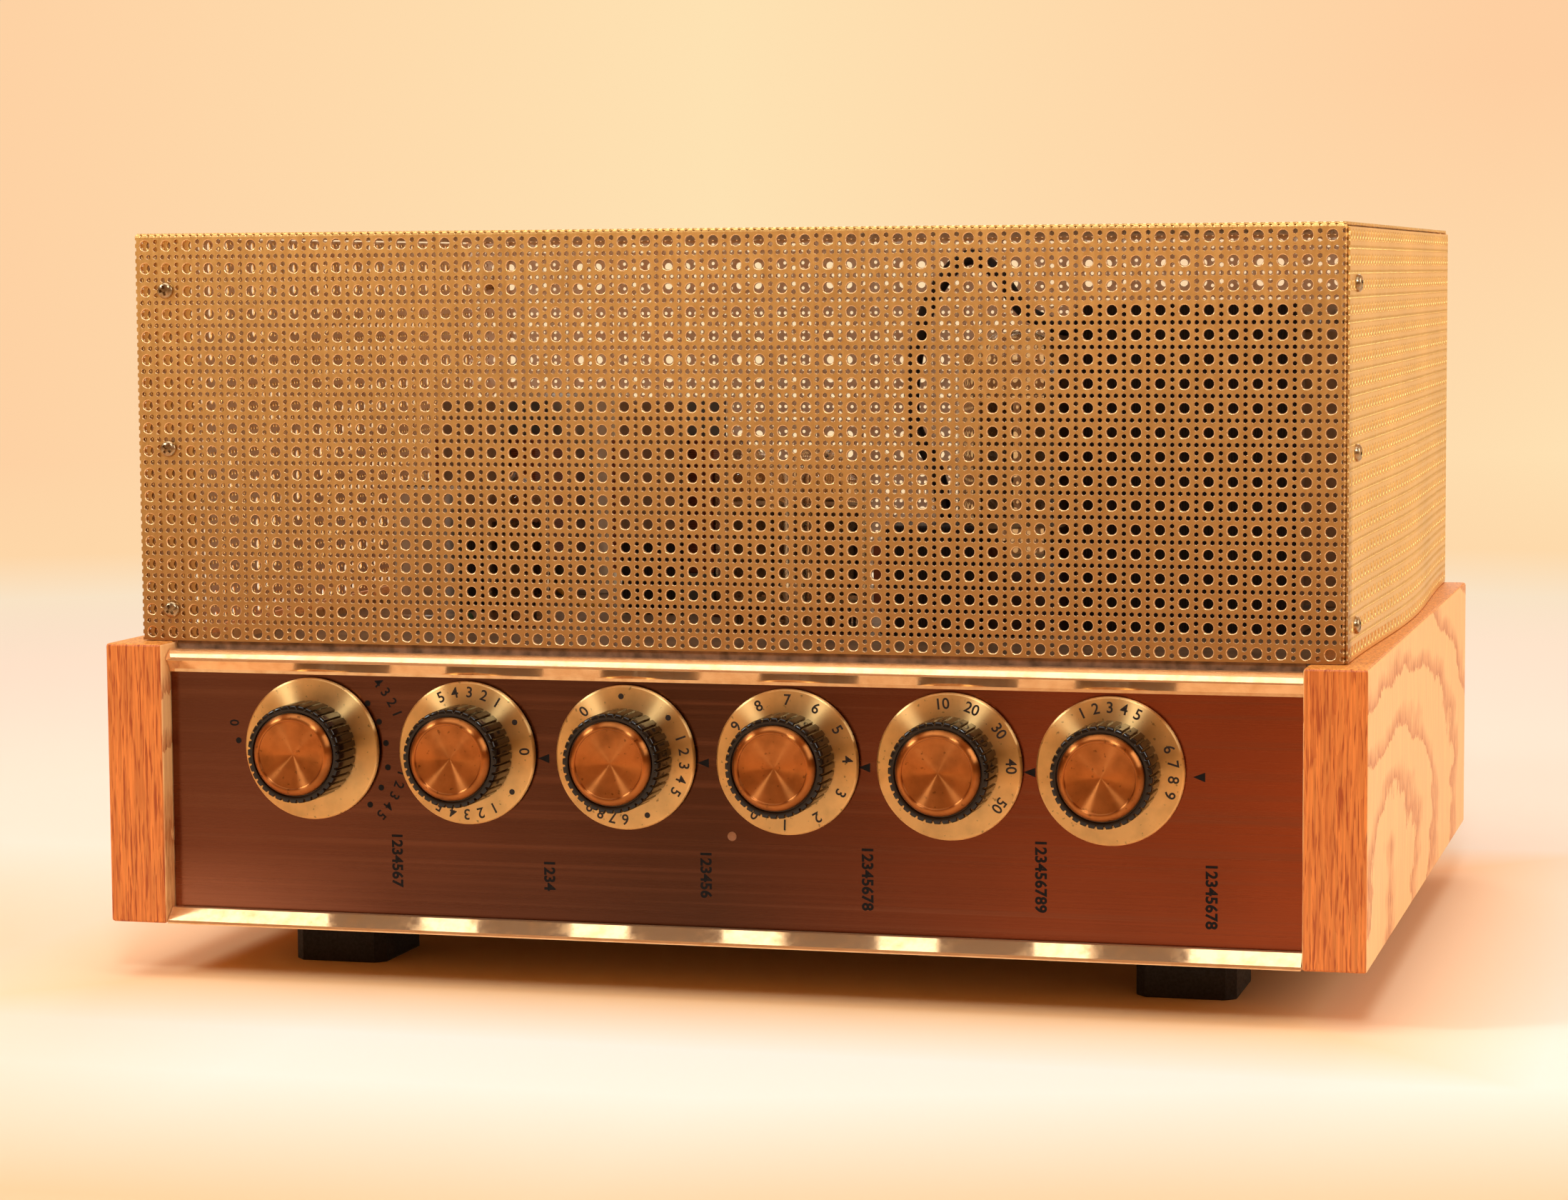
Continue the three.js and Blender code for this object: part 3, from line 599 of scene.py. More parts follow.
def make_polished_trim(colour):
    """Brass-coloured polished strip: nearly a mirror, with faint tarnish in patches."""
    tree = new_material("polished_gold_trim")
    tarnish = add_node(tree, NOISE, {
        "Scale": 240, "Detail": 4, "Roughness": 0.6, "Vector": mapped(tree)})
    tarnished = add_node(tree, RANGE, {0: tarnish, 1: 0.4, 2: 0.75})
    dull = shaded(colour, (0.86, 0.76, 0.64))
    tint = add_node(tree, MIX, {0: tarnished, 6: list(colour), 7: dull}, data_type="RGBA")
    gloss = add_node(tree, RANGE, {0: tarnish, 1: 0.4, 2: 0.75, 3: 0.08, 4: 0.22})
    close_material(tree, {"Base Color": tint, "Metallic": 0.74, "Roughness": gloss})


def make_spun(name, colour, roughness, dark_share, rings):
    """Metal spun on a lathe: hair-fine concentric grooves give it bright spokes of light."""
    tree = new_material(name)
    stain = add_node(tree, NOISE, {"Scale": 130, "Detail": 4, "Vector": mapped(tree)})
    stained = add_node(tree, RANGE, {0: stain, 1: 0.42, 2: 0.72, 4: 0.7})
    # specks where the lacquer has let the air in
    speck = add_node(tree, NOISE, {"Scale": 620, "Detail": 2, "Vector": mapped(tree)})
    specked = add_node(tree, RANGE, {0: speck, 1: 0.66, 2: 0.72, 4: 0.6})
    tint = list(colour)
    for where, share in ((stained, dark_share), (specked, 0.2)):
        tint = add_node(tree, MIX, {0: where, 6: tint, 7: shaded(colour, [share] * 3)}, data_type="RGBA")
    fine = add_node(tree, NOISE, {
        "Scale": 1, "Detail": 3, "Roughness": 0.7, "Vector": mapped(tree, (rings, 0, 0), source="turned")})
    bump = add_node(tree, "ShaderNodeBump", {"Strength": 0.15, "Distance": 0.02 * MM, "Height": fine})
    spin = add_node(tree, "ShaderNodeAttribute", attribute_name="spin")
    close_material(tree, {"Base Color": tint, "Metallic": 1.0, "Roughness": roughness, "Anisotropic": 1.0,
                          "Tangent": spin.outputs["Vector"], "Normal": bump})


def make_plain(name, hex_colour, metallic, roughness, texture=0, depth=0.0, spread=0.85, specular=0.5):
    """A plain finish with a fine grain, given in grains per metre, in its tone, gloss and surface."""
    colour = linear(hex_colour)
    tree = new_material(name)
    grain = add_node(tree, NOISE, {"Scale": texture, "Detail": 3, "Vector": mapped(tree)})
    toned = add_node(tree, RANGE, {0: grain, 1: 0.35, 2: 0.65})
    tint = add_node(tree, MIX, {0: toned, 6: shaded(colour, [spread] * 3), 7: colour}, data_type="RGBA")
    gloss = add_node(tree, RANGE, {
        0: grain, 1: 0.3, 2: 0.7, 3: roughness * 0.85, 4: min(roughness * 1.15, 1)})
    inputs = {"Base Color": tint, "Metallic": metallic, "Roughness": gloss, "Specular IOR Level": specular}
    if depth:
        inputs["Normal"] = add_node(tree, "ShaderNodeBump", {
            "Strength": 0.4, "Distance": depth * MM, "Height": grain})
    close_material(tree, inputs)


def make_layered(name, hex_colour, other_hex, spacing, metallic, roughness, axis):
    """Layers seen on edge, such as laminations or turns of wire, at a spacing in millimetres."""
    tree = new_material(name)
    turn = {"X": (0, 0, 0), "Z": (0, math.pi / 2, 0), "Y": (0, 0, -math.pi / 2)}[axis]
    wave = add_node(tree, "ShaderNodeTexWave", {
        "Scale": math.pi / (10 * spacing * MM), "Distortion": 0.0, "Vector": mapped(tree, turn=turn)},
        wave_type="BANDS", bands_direction="X").outputs["Fac"]
    tint = add_node(tree, MIX, {0: wave, 6: linear(hex_colour), 7: linear(other_hex)}, data_type="RGBA")
    bump = add_node(tree, "ShaderNodeBump", {"Strength": 0.5, "Distance": 0.15 * MM, "Height": wave})
    close_material(tree, {"Base Color": tint, "Metallic": metallic, "Roughness": roughness, "Normal": bump})


def make_glass():
    """Soda glass of a valve bulb: clear and thin, faintly smoked."""
    tree = new_material("clear_bulb_glass")
    smoke = add_node(tree, NOISE, {"Scale": 60, "Detail": 2, "Vector": mapped(tree)})
    smoked = add_node(tree, RANGE, {0: smoke, 1: 0.4, 2: 0.7})
    tint = add_node(tree, MIX, {0: smoked, 6: linear("#f7ead8"), 7: linear("#dcc8ae")}, data_type="RGBA")
    close_material(tree, {"Base Color": tint, "Roughness": 0.02, "IOR": 1.5, "Transmission Weight": 1.0})


class AMPLIFIER_OT_finishes(bpy.types.Operator):
    """Make the finishes, and give them to the nodes of the frame that keep their shape"""

    bl_idname = "amplifier.finishes"
    bl_label = "Finishes"

    def execute(self, context):
        scene = context.scene
        case = scene.amplifier_case
        dials = scene.amplifier_dials
        make_sheet_metal(scene.amplifier_sheet.colour)
        make_bare_inside()
        make_oak("lacquered_solid_oak", case.oak, (0.72, 0.54, 0.44), (0.46, 0.22, 0.12), False, 0.4)
        # the cheeks' tops take a paler copy of the oak: painted light from above
        make_oak("oak_top_painted_light", linear("#f0a850"), (0.72, 0.54, 0.44), (0.46, 0.22, 0.12), False, 0.4)
        # the sides: plain-sawn arches of the wood itself, made paler as painted light from the right
        make_oak("plain_sawn_oak_painted_light", case.lit_side_oak, (0.62, 0.36, 0.26), (0.46, 0.26, 0.18), True, 0.5)
        make_brushed_panel(case.panel)
        make_polished_trim(case.trim)
        make_spun("spun_gold_anodised_skirt", dials.skirt_colour, 0.36, 0.7, 2600)
        make_spun("spun_lacquered_copper", dials.inlay_colour, 0.28, 0.42, 3400)
        # phenolic resin, moulded in a polished tool: glossy, near black
        make_plain("polished_black_phenolic", "#120a06", 0.0, 0.15, 300, spread=0.8, specular=0.4)
        # stove enamel on steel: semi-matt with a faint orange peel
        make_plain("black_enamelled_steel", "#1c1714", 0.0, 0.38, 900, 0.03)
        make_plain("olive_grey_enamel", "#857058", 0.0, 0.42, 700, 0.03)
        make_plain("zinc_plated_steel", "#ab9377", 0.4, 0.5, 160, 0.02, spread=0.6)
        # punching leaves the edge of a hole smooth and glossy; its paler colour is a painted highlight on
        # the edges
        make_plain("punched_edge_painted_highlight", "#f8d09a", 0.8, 0.3, 700, spread=0.85)
        # bare deck edge with old dust and stains in blotches
        make_plain("dusty_deck_steel", "#a88464", 0.3, 0.6, 220, 0.04, spread=0.35)
        make_plain("black_moulded_rubber", "#120d0b", 0.0, 0.72, 1400, 0.06)
        make_plain("black_cable_rubber", "#140f0d", 0.0, 0.5, 1200, 0.03)
        make_plain("nickel_plated_steel", "#b89c78", 1.0, 0.26, 900, spread=0.65)
        make_plain("turned_bright_steel", "#a8a199", 1.0, 0.34, 700, spread=0.85)
        make_plain("drawn_satin_aluminium", "#c6bfb4", 1.0, 0.36, 350, spread=0.88)
        make_plain("grey_nickel_electrode", "#5a534c", 0.9, 0.5, 900, spread=0.7)
        make_plain("barium_getter_mirror", "#b9b4ae", 1.0, 0.08, 200, spread=0.6)
        make_plain("white_mica", "#cfc7b8", 0.0, 0.4, 700, spread=0.9)
        make_plain("brown_valve_base_resin", "#2a1710", 0.0, 0.3, 500, spread=0.8)
        make_plain("cream_steatite", "#d8cbb4", 0.0, 0.45, 600, spread=0.92)
        make_plain("paper_phenolic_board", "#5b3119", 0.0, 0.5, 1600, 0.02, spread=0.75)
        make_plain("black_printing_ink", "#0c0705", 0.0, 0.6, 900, spread=0.8, specular=0.2)
        make_plain("brown_printing_ink", "#1e0e07", 0.0, 0.5, 900, spread=0.8)
        make_plain("frosted_lamp_lens", "#94643f", 0.0, 0.4, 400, spread=0.8)
        make_plain("kraft_paper_wrap", "#8c4f2c", 0.0, 0.65, 700, 0.05, spread=0.75)
        make_plain("red_cloth_wire", "#9c3a20", 0.0, 0.7, 2500, 0.05, spread=0.7)
        make_plain("yellow_cloth_wire", "#c9942e", 0.0, 0.7, 2500, 0.05, spread=0.7)
        make_plain("green_cloth_wire", "#3f5a2c", 0.0, 0.7, 2500, 0.05, spread=0.7)
        make_plain("tinned_terminal", "#b7b0a4", 1.0, 0.3, 900, spread=0.8)
        make_layered("stacked_laminations", "#2a221d", "#120e0c", 0.9, 0.4, 0.5, "X")
        make_layered("layered_winding", "#a0582f", "#6e3418", 0.7, 0.0, 0.55, "Z")
        make_glass()
        kept = {
            "front_panel": "brushed_copper_brown_aluminium",
            "chassis": "zinc_plated_steel",
            "bottom_plate": "zinc_plated_steel",
            "mains_transformer_core": "stacked_laminations",
        }
        for name in CONTROLS:
            kept[name + "_shaft"] = "turned_bright_steel"
            kept[name + "_control"] = "turned_bright_steel"
        for node, look in kept.items():
            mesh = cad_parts[node].data
            mesh.materials.clear()
            mesh.materials.append(MATERIALS[look])
        return {"FINISHED"}


class AMPLIFIER_OT_stage(bpy.types.Operator):
    """Make the camera, the floor, the backdrop and the lamps"""

    bl_idname = "amplifier.stage"
    bl_label = "Stage"

    def execute(self, context):
        scene = context.scene
        sizes = scene.amplifier_stage
        lens = bpy.data.cameras.new("camera")
        lens.lens, lens.sensor_width, lens.clip_end = sizes.lens, 36, 50
        camera = bpy.data.objects.new("camera", lens)
        scene.collection.objects.link(camera)
        yaw, pitch, roll = sizes.turn
        turn = Matrix.Rotation(yaw, 4, "Z") @ Matrix.Rotation(pitch, 4, "X") @ Matrix.Rotation(roll, 4, "Y")
        camera.matrix_world = Matrix.Translation(sizes.place) @ turn @ Matrix.Rotation(math.pi / 2, 4, "X")
        scene.camera = camera

        self.floor(sizes)
        self.world(scene, sizes)
        # (place, aim, width, height, watts)
        lamps = {
            "front lamp": ((0.4, -1.6, 1.25), (0, 0, 0.1), 0.3, 0.3, 9),
            "left lamp": ((-1.15, -0.85, 0.9), (0, 0, 0.1), 0.3, 0.3, 8),
            "right softbox": ((1.4, -0.15, 0.75), (0.1, 0, 0.1), 0.7, 0.7, 7.2),
            "overhead softbox": ((-0.2, -0.5, 1.5), (0, 0, 0.1), 1.4, 0.8, 8.6),
            "back softbox": ((-0.1, 1.3, 1.0), (0, 0, 0.12), 1.0, 0.7, 5),
        }
        for name, (place, aim, width, height, watts) in lamps.items():
            light = bpy.data.lights.new(name, "AREA")
            light.shape, light.size, light.size_y, light.energy = "RECTANGLE", width, height, watts
            light.color = linear("#ebfaff")[:3]
            lamp = bpy.data.objects.new(name, light)
            scene.collection.objects.link(lamp)
            towards = (Vector(aim) - Vector(place)).to_track_quat("-Z", "Y")
            lamp.matrix_world = Matrix.Translation(place) @ towards.to_matrix().to_4x4()
        scene.view_settings.view_transform = "Standard"
        return {"FINISHED"}

    def floor(self, sizes):
        """A pale paper floor that keeps the shadow and fades into the backdrop further out."""
        mesh = bpy.data.meshes.new("paper_floor")
        reach = 6
        corners = [(-reach, -reach, 0), (reach, -reach, 0), (reach, reach, 0), (-reach, reach, 0)]
        mesh.from_pydata(corners, [], [(0, 1, 2, 3)])
        tree = new_material("matt_backdrop_paper")
        place = add_node(tree, "ShaderNodeSeparateXYZ", {0: mapped(tree)})
        x, y = place.outputs["X"], place.outputs["Y"]
        away = add_node(tree, "ShaderNodeVectorMath", {0: mapped(tree, place=(0.1, 0, 0))},
                        operation="LENGTH").outputs["Value"]
        # painted shade: the paper is palest beside the amplifier, and warms and darkens to the front, sooner
        # at the right
        side = add_node(tree, MATH, {0: x, 1: 0.03}, operation="MAXIMUM")
        ahead = add_node(tree, MATH, {0: side, 1: -0.3, 2: y}, operation="MULTIPLY_ADD")
        front = add_node(tree, RANGE, {0: ahead, 1: -0.27, 2: -0.4})
        room = add_node(tree, RANGE, {0: y, 1: -0.5, 2: -1.6})
        # to the left, and far behind
        left = add_node(tree, MATH, {
            0: add_node(tree, RANGE, {0: x, 1: -0.1, 2: -0.3}),
            1: add_node(tree, RANGE, {0: y, 1: 0.1, 2: -0.1})}, operation="MULTIPLY")
        behind = add_node(tree, MATH, {
            0: add_node(tree, RANGE, {0: away, 1: 0.4, 2: 1.7}),
            1: add_node(tree, RANGE, {0: y, 1: -0.4, 2: 0.0})}, operation="MULTIPLY")
        # painted shadow: close to the amplifier the paper is tinted warm orange, where its shadow falls
        half_width, half_depth = 0.188, 0.154
        gaps = []
        for way, half in ((x, half_width), (y, half_depth)):
            off = add_node(tree, MATH, {0: way}, operation="ABSOLUTE")
            gaps.append(add_node(tree, MATH, {0: off, 1: half}, operation="SUBTRACT"))
        gap = add_node(tree, MATH, {0: gaps[0], 1: gaps[1]}, operation="MAXIMUM")
        beside = add_node(tree, RANGE, {0: gap, 1: 0.05, 2: -0.02})
        tones = ((front, linear("#ebd3ae")), (room, sizes.room), (left, linear("#efdcbc")),
                 (behind, linear("#fed8a9")), (beside, linear("#ffdea8")))
        tone = sizes.paper
        for where, colour in tones:
            tone = add_node(tree, MIX, {0: where, 6: tone, 7: colour}, data_type="RGBA")
        paper = add_node(tree, "ShaderNodeBsdfPrincipled", {
            "Base Color": tone, "Roughness": 0.9, "Specular IOR Level": 0.1})
        glow = add_node(tree, "ShaderNodeEmission", {"Color": tone})
        distant = add_node(tree, RANGE, {0: away, 1: 0.42, 2: 1.3})
        share = add_node(tree, MATH, {0: distant, 1: self.seen_directly(tree)}, operation="MULTIPLY")
        near = add_node(tree, "ShaderNodeMixShader", {0: share, 1: paper, 2: glow})
        gone = add_node(tree, RANGE, {0: away, 1: 1.3, 2: 3.2})
        clear = add_node(tree, "ShaderNodeBsdfTransparent")
        blend = add_node(tree, "ShaderNodeMixShader", {0: gone, 1: near, 2: clear})
        add_node(tree, "ShaderNodeOutputMaterial", {"Surface": blend})
        link("paper_floor", mesh, ["matt_backdrop_paper"])

    def seen_directly(self, tree):
        """One for rays from the camera, from a mirror and through glass."""
        rays = add_node(tree, "ShaderNodeLightPath")
        seen = rays.outputs["Is Camera Ray"]
        for kind in ("Is Glossy Ray", "Is Transmission Ray"):
            seen = add_node(tree, MATH, {0: seen, 1: rays.outputs[kind]}, operation="MAXIMUM")
        return seen

    def world(self, scene, sizes):
        """Plain warm light all round, seen as peach paper and dimmer towards the room in front."""
        world = bpy.data.worlds.new("studio")
        world.use_nodes = True
        tree = world.node_tree
        tree.nodes.clear()
        way = add_node(tree, "ShaderNodeTexCoord").outputs["Generated"]
        parts = add_node(tree, "ShaderNodeSeparateXYZ", {0: way})
        # the paper is palest straight behind the amplifier and warms to both sides
        off = add_node(tree, MATH, {0: parts.outputs["X"], 1: 0.28}, operation="ADD")
        off = add_node(tree, MATH, {0: off}, operation="ABSOLUTE")
        aside = add_node(tree, RANGE, {0: off, 1: 0.0, 2: 0.2})
        paper = add_node(tree, MIX, {0: aside, 6: sizes.haze, 7: sizes.edge}, data_type="RGBA")
        # and pales towards the floor at the right
        low_right = add_node(tree, MATH, {
            0: add_node(tree, RANGE, {0: parts.outputs["X"], 1: -0.2, 2: -0.05}),
            1: add_node(tree, RANGE, {0: parts.outputs["Z"], 1: 0.05, 2: -0.05})}, operation="MULTIPLY")
        paper = add_node(tree, MIX, {0: low_right, 6: paper, 7: linear("#ffe3b4")}, data_type="RGBA")
        behind = add_node(tree, RANGE, {0: parts.outputs["Y"], 1: -0.35, 2: 0.1})
        paper = add_node(tree, MIX, {0: behind, 6: sizes.room, 7: paper}, data_type="RGBA")
        lit = add_node(tree, "ShaderNodeBackground", {"Color": linear("#ff9e4f"), "Strength": sizes.ambient})
        seen = add_node(tree, "ShaderNodeBackground", {"Color": paper, "Strength": 1.0})
        blend = add_node(tree, "ShaderNodeMixShader", {0: self.seen_directly(tree), 1: lit, 2: seen})
        add_node(tree, "ShaderNodeOutputWorld", {0: blend})
        scene.world = world


class AMPLIFIER_OT_cover(bpy.types.Operator):
    """Make the perforated cover from folded sheets, with the cane pattern punched through"""

    bl_idname = "amplifier.cover"
    bl_label = "Perforated cover"

    # X of the first column of large holes, and height of their top row, in millimetres
    FIRST_COLUMN, TOP_ROW = -177.24, 219.6
    # where a sheet is parted, in pitches from its first hole: between two cells of the pattern
    SEAMS = (13.6666, 27.6666)
    # width of the flanges behind the front sheet and before the back sheet, in millimetres
    FLANGE = 16

    def execute(self, context):
        sizes = context.scene.amplifier_sheet
        self.pitch, self.wall, self.fold = sizes.pitch / MM, sizes.thickness / MM, sizes.fold / MM
        self.item = link("hole cell", self.hole_cell(sizes))
        face, foot = box_mm("cover_front")[0].yz
        half, back, roof = box_mm("cover_top")[1]
        side_top = box_mm("cover_right")[1].z
        arc = math.pi / 2 * (self.fold - self.wall / 2)
        bend_top, bend_side = roof - self.fold, half - self.fold
        roof_start = bend_top + arc
        column, row = self.FIRST_COLUMN, self.TOP_ROW
        roof_row = face + self.fold + (row + self.pitch - roof_start)
        x, y, z = Vector((1, 0, 0)), Vector((0, 1, 0)), Vector((0, 0, 1))
        # the front and the back sheet are each made in two parts that meet between columns of holes
        halfway = column + self.SEAMS[1] * self.pitch
        for part, (start, end) in enumerate(((-half, halfway), (halfway, bend_side + arc))):
            bends = {"t+": bend_top, "s+": bend_side} if part else {"t+": bend_top}
            # the hole edges of the front sheets take the paler edge finish, a painted highlight
            self.sheet("front_sheet_%d" % (part + 1), (0, face, 0), (x, z, -y), (start, end),
                       (foot, roof_start), (column, row), bends, [] if part else ["cover_front"],
                       edge="punched_edge_painted_highlight")
        self.sheet("front_sheet_return", (half - 0.05, 0, 0), (y, z, x), (face + self.fold, face + 25),
                   (foot, side_top), (face + 4.3, row), {}, [])
        # and the top sheet in three that meet between rows
        seams = [roof_row + seam * self.pitch for seam in self.SEAMS]
        starts, ends = [face + self.fold] + seams, seams + [back - self.fold]
        for part, (near, far) in enumerate(zip(starts, ends)):
            self.sheet("top_sheet_%d" % (part + 1), (0, 0, roof), (x, y, z), (-half, half),
                       (near, far), (column, roof_row), {}, [] if part else ["cover_top"])
        for part, (start, end) in enumerate(((-half, halfway), (halfway, half))):
            self.sheet("back_sheet_%d" % (part + 1), (0, back, 0), (-x, z, y), (start, end),
                       (foot, roof_start), (column, row), {"t+": bend_top},
                       [] if part else ["cover_back"])
        # the left sheet is folded inwards behind the front sheet and before the back sheet
        front_fold = -face - self.wall - 0.3 - self.fold
        rear_fold = back - self.wall - 0.3 - self.fold
        beyond = arc + self.FLANGE
        self.sheet("left_sheet", (-half, 0, 0), (-y, z, -x), (-rear_fold - beyond, front_fold + beyond),
                   (foot, side_top), (-roof_row, row), {"s+": front_fold, "s-": -rear_fold},
                   ["cover_left"])
        self.sheet("right_sheet", (half + self.wall, 0, 0), (y, z, x),
                   (face + 1.4, rear_fold + beyond), (foot, side_top), (roof_row, row),
                   {"s+": rear_fold}, ["cover_right"], bulge=sizes.bulge / MM)
        bpy.data.objects.remove(self.item)
        return {"FINISHED"}

    def hole_cell(self, sizes):
        """One large hole and its five small ones in a square of sheet, with walls that widen outwards."""
        pitch, wall = sizes.pitch, sizes.thickness
        third = pitch / 3
        # (x, y, radius, sides) of each hole
        small = ((1 / 2, 1 / 6), (1 / 2, -1 / 6), (1 / 6, 1 / 2), (-1 / 6, 1 / 2), (1 / 2, 1 / 2))
        holes = [(0, 0, sizes.large / 2, 12)]
        holes += [(a * pitch, b * pitch, sizes.small / 2, 6) for a, b in small]
        flat = [Vector((-third, -third)), Vector((2 * third, -third)),
                Vector((2 * third, 2 * third)), Vector((-third, 2 * third))]
        deep = list(flat)
        rolled = []
        owner = [-1] * 4
        edges = [(0, 1), (1, 2), (2, 3), (3, 0)]
        rings = []
        for number, (x, y, radius, sides) in enumerate(holes):
            first = len(flat)
            rings.append(list(range(first, first + sides)))
            for k in range(sides):
                angle = 2 * math.pi * (k + 0.5) / sides
                way = Vector((math.cos(angle), math.sin(angle)))
                flat.append(Vector((x, y)) + way * (radius + sizes.rim * (1 if number == 0 else 0.5)))
                deep.append(Vector((x, y)) + way * radius)
                if number == 0:
                    rolled.append(Vector((x, y)) + way * (radius + 0.22 * sizes.rim))
                owner.append(number)
            edges += [(first + k, first + (k + 1) % sides) for k in range(sides)]
        made = delaunay_2d_cdt(flat, edges, [], 0, 1e-9, True)
        source = [origin[0] for origin in made[3]]
        count = len(flat)
        points = [(p.x, p.y, 0) for p in flat] + [(p.x, p.y, -wall) for p in deep]
        points += [(p.x, p.y, -0.75 * sizes.rim) for p in rolled]
        faces, walls = [], []
        for face in made[2]:
            a, b, c = (source[i] for i in face)
            if owner[a] == owner[b] == owner[c] != -1:
                continue
            if (flat[b] - flat[a]).cross(flat[c] - flat[a]) < 0:
                b, c = c, b
            faces += [(a, b, c), (count + a, count + c, count + b)]
        for number, ring in enumerate(rings):
            for k, (a, b) in enumerate(zip(ring, ring[1:] + ring[:1])):
                if number == 0:
                    c, d = 2 * count + k, 2 * count + (k + 1) % len(ring)
                    walls += [(a, b, d, c), (c, d, count + b, count + a)]
                else:
                    walls.append((a, b, count + b, count + a))
        mesh = bpy.data.meshes.new("hole cell")
        mesh.from_pydata(points, [], faces + walls)
        mesh.polygons.foreach_set("use_smooth", [False] * len(faces) + [True] * len(walls))
        return mesh

    def sheet(self, name, origin, axes, across, along, phase, bends, stands_for, bulge=0.0,
              edge="lacquered_gold_bronze_sheet"):
        """A rectangle of sheet in its own plane, trimmed, then folded.

        bends says where each fold starts: s across or t along the sheet, folding what lies beyond it
        to the + or the - side.
        """
        pitch = self.pitch
        span = []
        for (low, high), start in ((across, phase[0]), (along, phase[1])):
            first = math.floor((low - start) / pitch + 1 / 3)
            last = math.ceil((high - start) / pitch - 2 / 3)
            span.append((first, last - first + 1, start + first * pitch))
        (_, columns, left), (_, rows, bottom) = span
        mesh = grown("grid", {
            "Item": self.item, "Columns": columns, "Rows": rows, "Width": (columns - 1) * pitch * MM,
            "Length": (rows - 1) * pitch * MM, "Material": MATERIALS["lacquered_gold_bronze_sheet"]})
        shift = Vector((left + (columns - 1) * pitch / 2, bottom + (rows - 1) * pitch / 2, 0)) * MM
        mesh.transform(Matrix.Translation(shift))
        solid = bmesh.new()
        solid.from_mesh(mesh)
        for axis, (low, high) in enumerate((across, along)):
            way = Vector((1, 0, 0)) if axis == 0 else Vector((0, 1, 0))
            self.cut(solid, way * low * MM, -way, True)
            self.cut(solid, way * high * MM, way, True)
        arc = math.pi / 2 * (self.fold - self.wall / 2)
        for side, start in bends.items():
            way = Vector((1, 0, 0)) if side[0] == "s" else Vector((0, 1, 0))
            sign = 1 if side[1] == "+" else -1
            for step in range(4):
                self.cut(solid, way * (start + sign * arc * step / 3) * MM, way, False)
        bmesh.ops.triangulate(solid, faces=[f for f in solid.faces if len(f.verts) > 4])
        solid.to_mesh(mesh)
        solid.free()
        # the outside, the inside, and the walls of the holes
        looks = [0 if face.normal.z > 0.9 else 1 if face.normal.z < -0.9 else 2 for face in mesh.polygons]
        mesh.polygons.foreach_set("material_index", looks)
        self.settle(mesh, origin, axes, bends, bulge)
        finishes = ["lacquered_gold_bronze_sheet", "bare_inside_painted_light", edge]
        dress(name, mesh, finishes, stands_for=stands_for)

    def cut(self, solid, point, normal, trim):
        """Cuts the sheet along a line, and where it trims, drops what lies beyond and closes the cut."""
        near = 1.2 * self.pitch * MM
        faces = [f for f in solid.faces if (f.verts[0].co - point).dot(normal) > -near]
        if not trim:
            faces = [f for f in faces if (f.verts[0].co - point).dot(normal) < near]
        # a dict keeps the order, so each run gives the same mesh
        geometry = dict.fromkeys(part for face in faces for part in (face, *face.edges, *face.verts))
        made = bmesh.ops.bisect_plane(solid, geom=list(geometry), dist=1e-8, plane_co=point,
                                      plane_no=normal, clear_outer=trim)
        if trim:
            edges = [e for e in made["geom_cut"] if isinstance(e, bmesh.types.BMEdge) and e.is_boundary]
            bmesh.ops.holes_fill(solid, edges=edges, sides=0)

    def settle(self, mesh, origin, axes, bends, bulge):
        """Folds the flat sheet and sets it in its place."""
        co = np.empty(len(mesh.vertices) * 3)
        mesh.vertices.foreach_get("co", co)
        co = co.reshape(-1, 3) / MM
        radius = self.fold
        arc = math.pi / 2 * (radius - self.wall / 2)
        for side, start in bends.items():
            k = 0 if side[0] == "s" else 1
            sign = 1 if side[1] == "+" else -1
            beyond = sign * (co[:, k] - start)
            turn = np.clip(beyond / arc, 0, 1) * math.pi / 2
            past = np.maximum(beyond - arc, 0)
            reach = radius + co[:, 2]
            bent = beyond > 0
            along = start + sign * reach * np.sin(turn)
            depth = -radius + reach * np.cos(turn) - past
            co[:, k] = np.where(bent, along, co[:, k])
            co[:, 2] = np.where(bent, depth, co[:, 2])
        basis = np.array([list(axis) for axis in axes])
        world = np.array(origin) + co @ basis
        if bulge:
            low, high = box_mm("cover_right")
            share = np.clip((world[:, 1] - low.y) / (high.y - low.y), 0, 1)
            sag = np.clip((high.z - world[:, 2]) / (high.z - low.z), 0, 1) ** 1.6
            world[:, 0] += bulge * np.sin(math.pi * share) ** 2 * sag
        mesh.vertices.foreach_set("co", (world * MM).ravel())
        mesh.update()


class AMPLIFIER_OT_cheeks(bpy.types.Operator):
    """Make the oak cheeks: boards with eased edges, plain-sawn on the sides"""

    bl_idname = "amplifier.cheeks"
    bl_label = "Oak cheeks"

    def execute(self, context):
        for side in ("left", "right"):
            node = side + "_cheek"
            shape = Shape()
            shape.box(*box_mm(node))
            mesh = shape.mesh(node)
            for face in mesh.polygons:
                # the tops and the sides get paler copies of the oak as painted light; the sides also show
                # the plain-sawn figure
                sawn_across = face.normal.y < -0.5 or face.normal.z < -0.5
                face.material_index = 2 if face.normal.z > 0.5 else 0 if sawn_across else 1
            finishes = ["lacquered_solid_oak", "plain_sawn_oak_painted_light", "oak_top_painted_light"]
            dress(side + "_oak_board", mesh, finishes, stands_for=[node], bevel=0.9)
        return {"FINISHED"}


